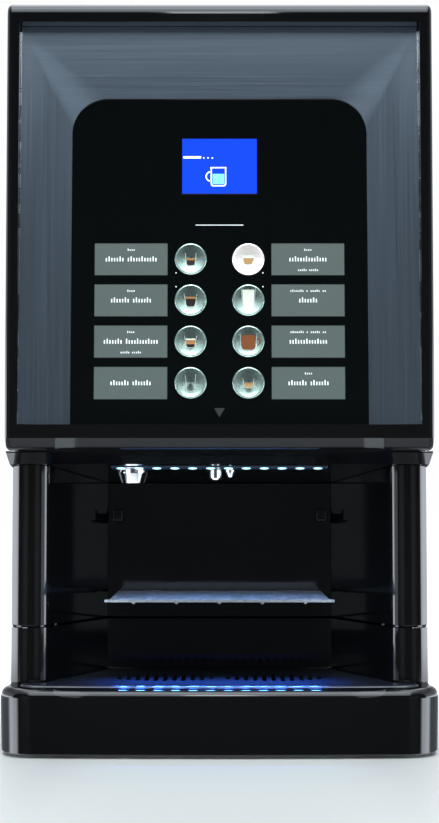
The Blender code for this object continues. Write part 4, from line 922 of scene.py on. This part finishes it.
def make_fascia_lips():
    """Thin bright edges down the fascia's two sides."""
    top, half, thick = FASCIA_HIGH.z - FASCIA_LOW.z, 0.0004, 0.0010
    lips = []
    for side in (-1, 1):
        ends = [fascia_point(side * (FASCIA_X - half), z, -half) for z in (0.0, top)]
        loops = [[(p.x - half, p.y, p.z), (p.x + half, p.y, p.z),
                  (p.x + half, p.y + thick, p.z), (p.x - half, p.y + thick, p.z)] for p in ends]
        lips.append(loft("lip", loops))
    return cluster("fascia_lips", lips, EDGE_METAL)


# ---- Small fittings ----
def screw(place):
    """A pan-head screw with a cross recess, facing the matrix's -Z."""
    profile = [(0.0031, 0.0002), (0.0031, -0.0004), (0.0028, -0.0011), (0.0018, -0.0016), (0.0003, -0.0017)]
    head = turned("head", profile, Matrix(), LOOKS["zinc_sheet"], 28)
    length, width = 0.0018, 0.00035
    cross = [block("cross", (-a, -b, -0.0025), (a, b, -0.0008)) for a, b in ((length, width), (width, length))]
    return placed(cut(head, fuse(*cross)), place)


def make_screws():
    """Screws that hold the back panel and the sides."""
    low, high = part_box("rear_panel")
    back = Matrix.Translation((0, high.y, 0)) @ Matrix.Rotation(pi / 2, 4, "X")
    fan, fan_spacing, edge = middle("fan_housing"), (-0.0345, 0.0345), 0.009
    spots = [(x, z) for x in (low.x + edge, high.x - edge) for z in (0.035, 0.200, 0.365, 0.530, 0.665)]
    spots += [(x, z) for x in (-0.065, 0.065) for z in (0.022, 0.682)]
    spots += [(fan.x + a, fan.z + b) for a in fan_spacing for b in fan_spacing]
    heads = [screw(Matrix.Translation((x, 0, z)) @ back) for x, z in spots]
    for side in (-1, 1):
        face = Matrix.Translation((side * high.x, 0, 0)) @ Matrix.Rotation(-side * pi / 2, 4, "Y")
        heads += [screw(Matrix.Translation((0, y, z)) @ face) for y in (-0.078, 0.255) for z in (0.060, 0.640)]
    return softened(cluster("panel_screws", heads, LOOKS["zinc_sheet"]), 0.0)


def make_lock():
    """The key barrel in the door's right side, with its cam."""
    profile = [(0.0078, -0.021), (0.0078, 0.0004), (0.0093, 0.0004), (0.0095, 0.0007), (0.0095, 0.0012),
               (0.0091, 0.0016), (0.0066, 0.0016), (0.0064, 0.0012)]
    barrel = turned("lock_barrel", profile, Matrix.Rotation(pi / 2, 4, "Y"), LOOKS["chrome"], 64)
    cam = block("cam", (-0.0205, -0.008, -0.008), (-0.0178, 0.030, 0.008))
    key = block("key", (0.0004, -0.0009, -0.0045), (0.01, 0.0009, 0.0045))
    place = Matrix.Translation((DOOR_X, LOCK_Y, LOCK_Z))
    return placed(softened(cut(fuse(barrel, cam), key), 0.0), place)


# ---- The model ----
def dress_cad_nodes():
    """Gives every CAD node the look of its slot; the ones that a finer piece replaces are hidden anyway."""
    slot_of = {part["node"]: part["material_slot"] for part in frame["record"]["subparts"]}
    for node, carried in frame["nodes"].items():
        carried.data.materials.clear()
        carried.data.materials.append(LOOKS[slot_of[node]])


def make_model():
    """Makes and places every fine piece, and returns the lamp lenses, which the lamps' light rides on."""
    fit(make_drawer(), "drawer", "gloss_black", "drip_drawer")
    fit(make_tray_grille(), "grille", "matt_black", "tray_grille")
    for node, side in make_bay_sides().items():
        fit(side, "door", "gloss_black", node)
    fit(make_back_wall(), "door", "gloss_black", "bay_back_wall")
    for node, nozzle in make_nozzles().items():
        fit(nozzle, "door", "chrome", node)
    strip, lenses = make_lamps()
    fit(strip, "door", "led_lens", "led_bar")
    fit(lenses, "door", "led_lens")
    fit(make_shelf(), "shelf", "stainless", "cup_shelf")
    fit(make_head(), "door", "gloss_black", "door_frame")
    fit(make_fascia(), "door", "brushed_fascia", "fascia")
    fit(make_fascia_lips(), "door", "brushed_fascia")
    fit(make_panel(), "door", "gloss_black", "control_panel")
    for number in BUTTON_PLACES:
        fit(make_button(number), f"push_{number}", "button_metal", f"button_{number}")
        for picture in make_drink(number):
            fit(picture, f"push_{number}", "button_metal")
    fit(make_label_marks(), "door", "label_window")
    case, lit_face = make_display()
    fit(case, "door", "matt_black", "display")
    fit(lit_face, "door", "screen")
    for mark in make_display_marks():
        fit(mark, "door", "screen")
    for mark in make_panel_marks():
        fit(mark, "door", "gloss_black")
    fit(make_screws(), "cabinet", "zinc_sheet")
    fit(make_lock(), "lock", "chrome", "door_lock")
    return lenses


# ---- Studio ----
FLOOR_COLOUR, FLOOR_GLOW, FLOOR_RADIUS = (0.40, 0.405, 0.380), (0.55, 0.56, 0.57, 1.0), 9.0
SHELF_BLUE, TRAY_BLUE, COOL_WHITE = (0.12, 0.36, 1.0), (0.05, 0.20, 1.0), (0.80, 0.92, 1.0)
TRAY_LIGHT_Y = -0.228
BACKDROP = (0.985, 0.99, 0.99, 1.0)
CAMERA_PLACE, CAMERA_TILT, CAMERA_LENS = (0.0, -1.680, 0.243), 93.04, 66.8


def floor_finish():
    """Pale in front of the machine, fading to plain white behind it and far away; that white is painted light,
    a glow that the floor gives off.
    """
    made = Finish("studio_floor", FLOOR_COLOUR, 0.45, Specular_IOR_Level=0.2)
    place = made.node("TexCoord")
    parts = made.node("SeparateXYZ")
    made.links.new(place.outputs["Object"], parts.inputs["Vector"])
    distance = made.node("VectorMath", operation="LENGTH")
    made.links.new(place.outputs["Object"], distance.inputs[0])
    # Painted light: the floor's glow rises behind the machine and far from it.
    painted_glow = made.node("Math", operation="MAXIMUM")
    made.links.new(made.remap(parts.outputs["Y"], -0.30, 0.25), painted_glow.inputs[0])
    made.links.new(made.remap(distance.outputs["Value"], 0.9, 2.6), painted_glow.inputs[1])
    made.links.new(painted_glow.outputs[0], made.shader.inputs["Emission Strength"])
    made.set("Emission Color", FLOOR_GLOW)
    return made.material


def make_floor():
    """A disc that lights the machine but isn't mirrored in it; the world's lower half is instead."""
    floor = prism("studio_floor", circle(0, 0, FLOOR_RADIUS, 96), -0.02, 0.0, floor_finish())
    floor.visible_glossy = False


def area_light(name, place, aim, size, power, colour):
    lamp = bpy.data.lights.new(name, "AREA")
    lamp.shape = "RECTANGLE"
    lamp.size, lamp.size_y = size
    lamp.energy = power
    lamp.color = colour
    made = bpy.data.objects.new(name, lamp)
    bpy.context.scene.collection.objects.link(made)
    made.location = place
    made.rotation_euler = (Vector(aim) - Vector(place)).to_track_quat("-Z", "Y").to_euler()
    return made


def make_lamp_light(lenses):
    """Blue light on the shelf and, from just under it, on the tray; it moves with the lamps."""
    size = (0.008, 0.008)
    for index, x in enumerate(led_places()):
        glow = area_light(f"tray_glow_{index}", (x, TRAY_LIGHT_Y, SHELF_LOW.z - 0.004),
                          (x, TRAY_LIGHT_Y, 0.0), size, 0.065, TRAY_BLUE)
        glow.data.spread = radians(70)
        beam = area_light(f"shelf_glow_{index}", (x, LED_Y, LED_LOW.z - 0.002),
                          (x, LED_Y - 0.010, SHELF_HIGH.z), size, 0.007, SHELF_BLUE)
        beam.data.spread = radians(90)
        glow.parent = beam.parent = lenses


def make_studio_light():
    area_light("dish_light", (0, -2.0, 1.65), (0, -0.25, 0.42), (0.24, 0.60), 4.5, (0.96, 0.99, 1.0))
    x, y, z = 0.155, -0.345, 0.174
    for side in (-1, 1):
        place, aim = (side * x, y, z), (0, y, z)
        beside = area_light(f"column_light_{side}", place, aim, (0.19, 0.19), 0.22, COOL_WHITE)
        beside.visible_camera = False


def make_world():
    """Pale to the camera; to the machine dark ahead, with a softbox overhead and bright walls behind."""
    world = bpy.data.worlds.new("studio")
    bpy.context.scene.world = world
    world.use_nodes = True
    nodes, links = world.node_tree.nodes, world.node_tree.links
    direction = nodes.new("ShaderNodeTexCoord")
    parts = nodes.new("ShaderNodeSeparateXYZ")
    links.new(direction.outputs["Generated"], parts.inputs["Vector"])

    def ramp(axis, tint, stops):
        """A tint whose level depends on one component of the direction, from -1 to 1."""
        share = nodes.new("ShaderNodeMapRange")
        share.inputs["From Min"].default_value = -1.0
        links.new(parts.outputs[axis], share.inputs["Value"])
        made = nodes.new("ShaderNodeValToRGB")
        elements = made.color_ramp.elements
        while len(elements) < len(stops):
            elements.new(1.0)
        for element, (value, level) in zip(elements, stops):
            element.position = (value + 1) / 2
            element.color = (*[level * part for part in tint], 1.0)
        links.new(share.outputs["Result"], made.inputs["Fac"])
        return made.outputs["Color"]

    def mix(kind, first, second, factor=1.0):
        """Mixes two colours; the second and the factor may be plain values instead of sockets."""
        made = nodes.new("ShaderNodeMix")
        made.data_type = "RGBA"
        made.blend_type = kind
        for label, source in (("Factor", factor), ("A", first), ("B", second)):
            if isinstance(source, bpy.types.NodeSocket):
                links.new(source, made.inputs[label])
            else:
                made.inputs[label].default_value = source
        return made.outputs["Result"]

    cool, cooler, plain = (0.92, 1.0, 1.08), (0.95, 1.0, 1.1), (1.0, 1.0, 1.0)
    base = ramp("Z", cool, [
        (-1.0, 4.2), (-0.80, 3.6), (-0.50, 0.16), (-0.30, 0.08), (0.06, 0.10), (0.20, 0.065),
        (0.40, 0.035), (0.62, 0.06), (0.85, 1.2), (1.0, 5.6)])
    softbox = ramp("Z", cool, [(0.50, 0.0), (0.62, 4.4), (1.0, 4.4)])
    centre = ramp("X", plain, [(-0.42, 0.0), (-0.30, 1.0), (0.30, 1.0), (0.42, 0.0)])
    fill = ramp("Z", cool, [(-0.25, 0.0), (-0.06, 0.30), (0.12, 0.26), (0.36, 0.07), (0.50, 0.0)])
    flanks = ramp("X", plain, [
        (-0.80, 0.0), (-0.62, 1.0), (-0.40, 1.0), (-0.28, 0.0),
        (0.28, 0.0), (0.40, 1.0), (0.62, 1.0), (0.80, 0.0)])
    low = ramp("Z", cool, [(-0.40, 0.0), (-0.30, 8.0), (-0.145, 8.0), (-0.125, 0.0)])
    beside = ramp("Y", plain, [(-0.55, 0.0), (-0.42, 1.0), (-0.05, 1.0), (0.15, 0.0)])
    walls = ramp("Z", cooler, [
        (-1.0, 0.5), (-0.30, 0.6), (-0.14, 1.0), (-0.10, 9.0), (0.03, 9.0), (0.10, 2.5),
        (0.35, 1.6), (0.60, 0.8), (0.85, 1.2), (1.0, 5.6)])
    behind = ramp("Y", plain, [
        (-0.28, 0.0), (-0.15, 1.0), (0.17, 0.93), (0.34, 0.70), (0.50, 0.50), (0.64, 0.36),
        (0.77, 0.25), (0.93, 0.35), (1.0, 0.5)])
    front = mix("ADD", base, mix("MULTIPLY", softbox, centre))
    front = mix("ADD", front, mix("MULTIPLY", fill, flanks))
    around = mix("MIX", front, walls, behind)
    around = mix("ADD", around, mix("MULTIPLY", low, beside))
    seen = nodes.new("ShaderNodeLightPath")
    shown = mix("MIX", around, BACKDROP, seen.outputs["Is Camera Ray"])
    links.new(shown, nodes["Background"].inputs["Color"])


def make_camera():
    camera = bpy.data.objects.new("camera", bpy.data.cameras.new("camera"))
    bpy.context.scene.collection.objects.link(camera)
    camera.location = CAMERA_PLACE
    camera.rotation_euler = (radians(CAMERA_TILT), 0.0, 0.0)
    camera.data.lens = CAMERA_LENS
    bpy.context.scene.camera = camera
    bpy.context.scene.view_settings.view_transform = "Standard"


dress_cad_nodes()
lamp_lenses = make_model()
make_floor()
make_lamp_light(lamp_lenses)
make_studio_light()
make_world()
make_camera()
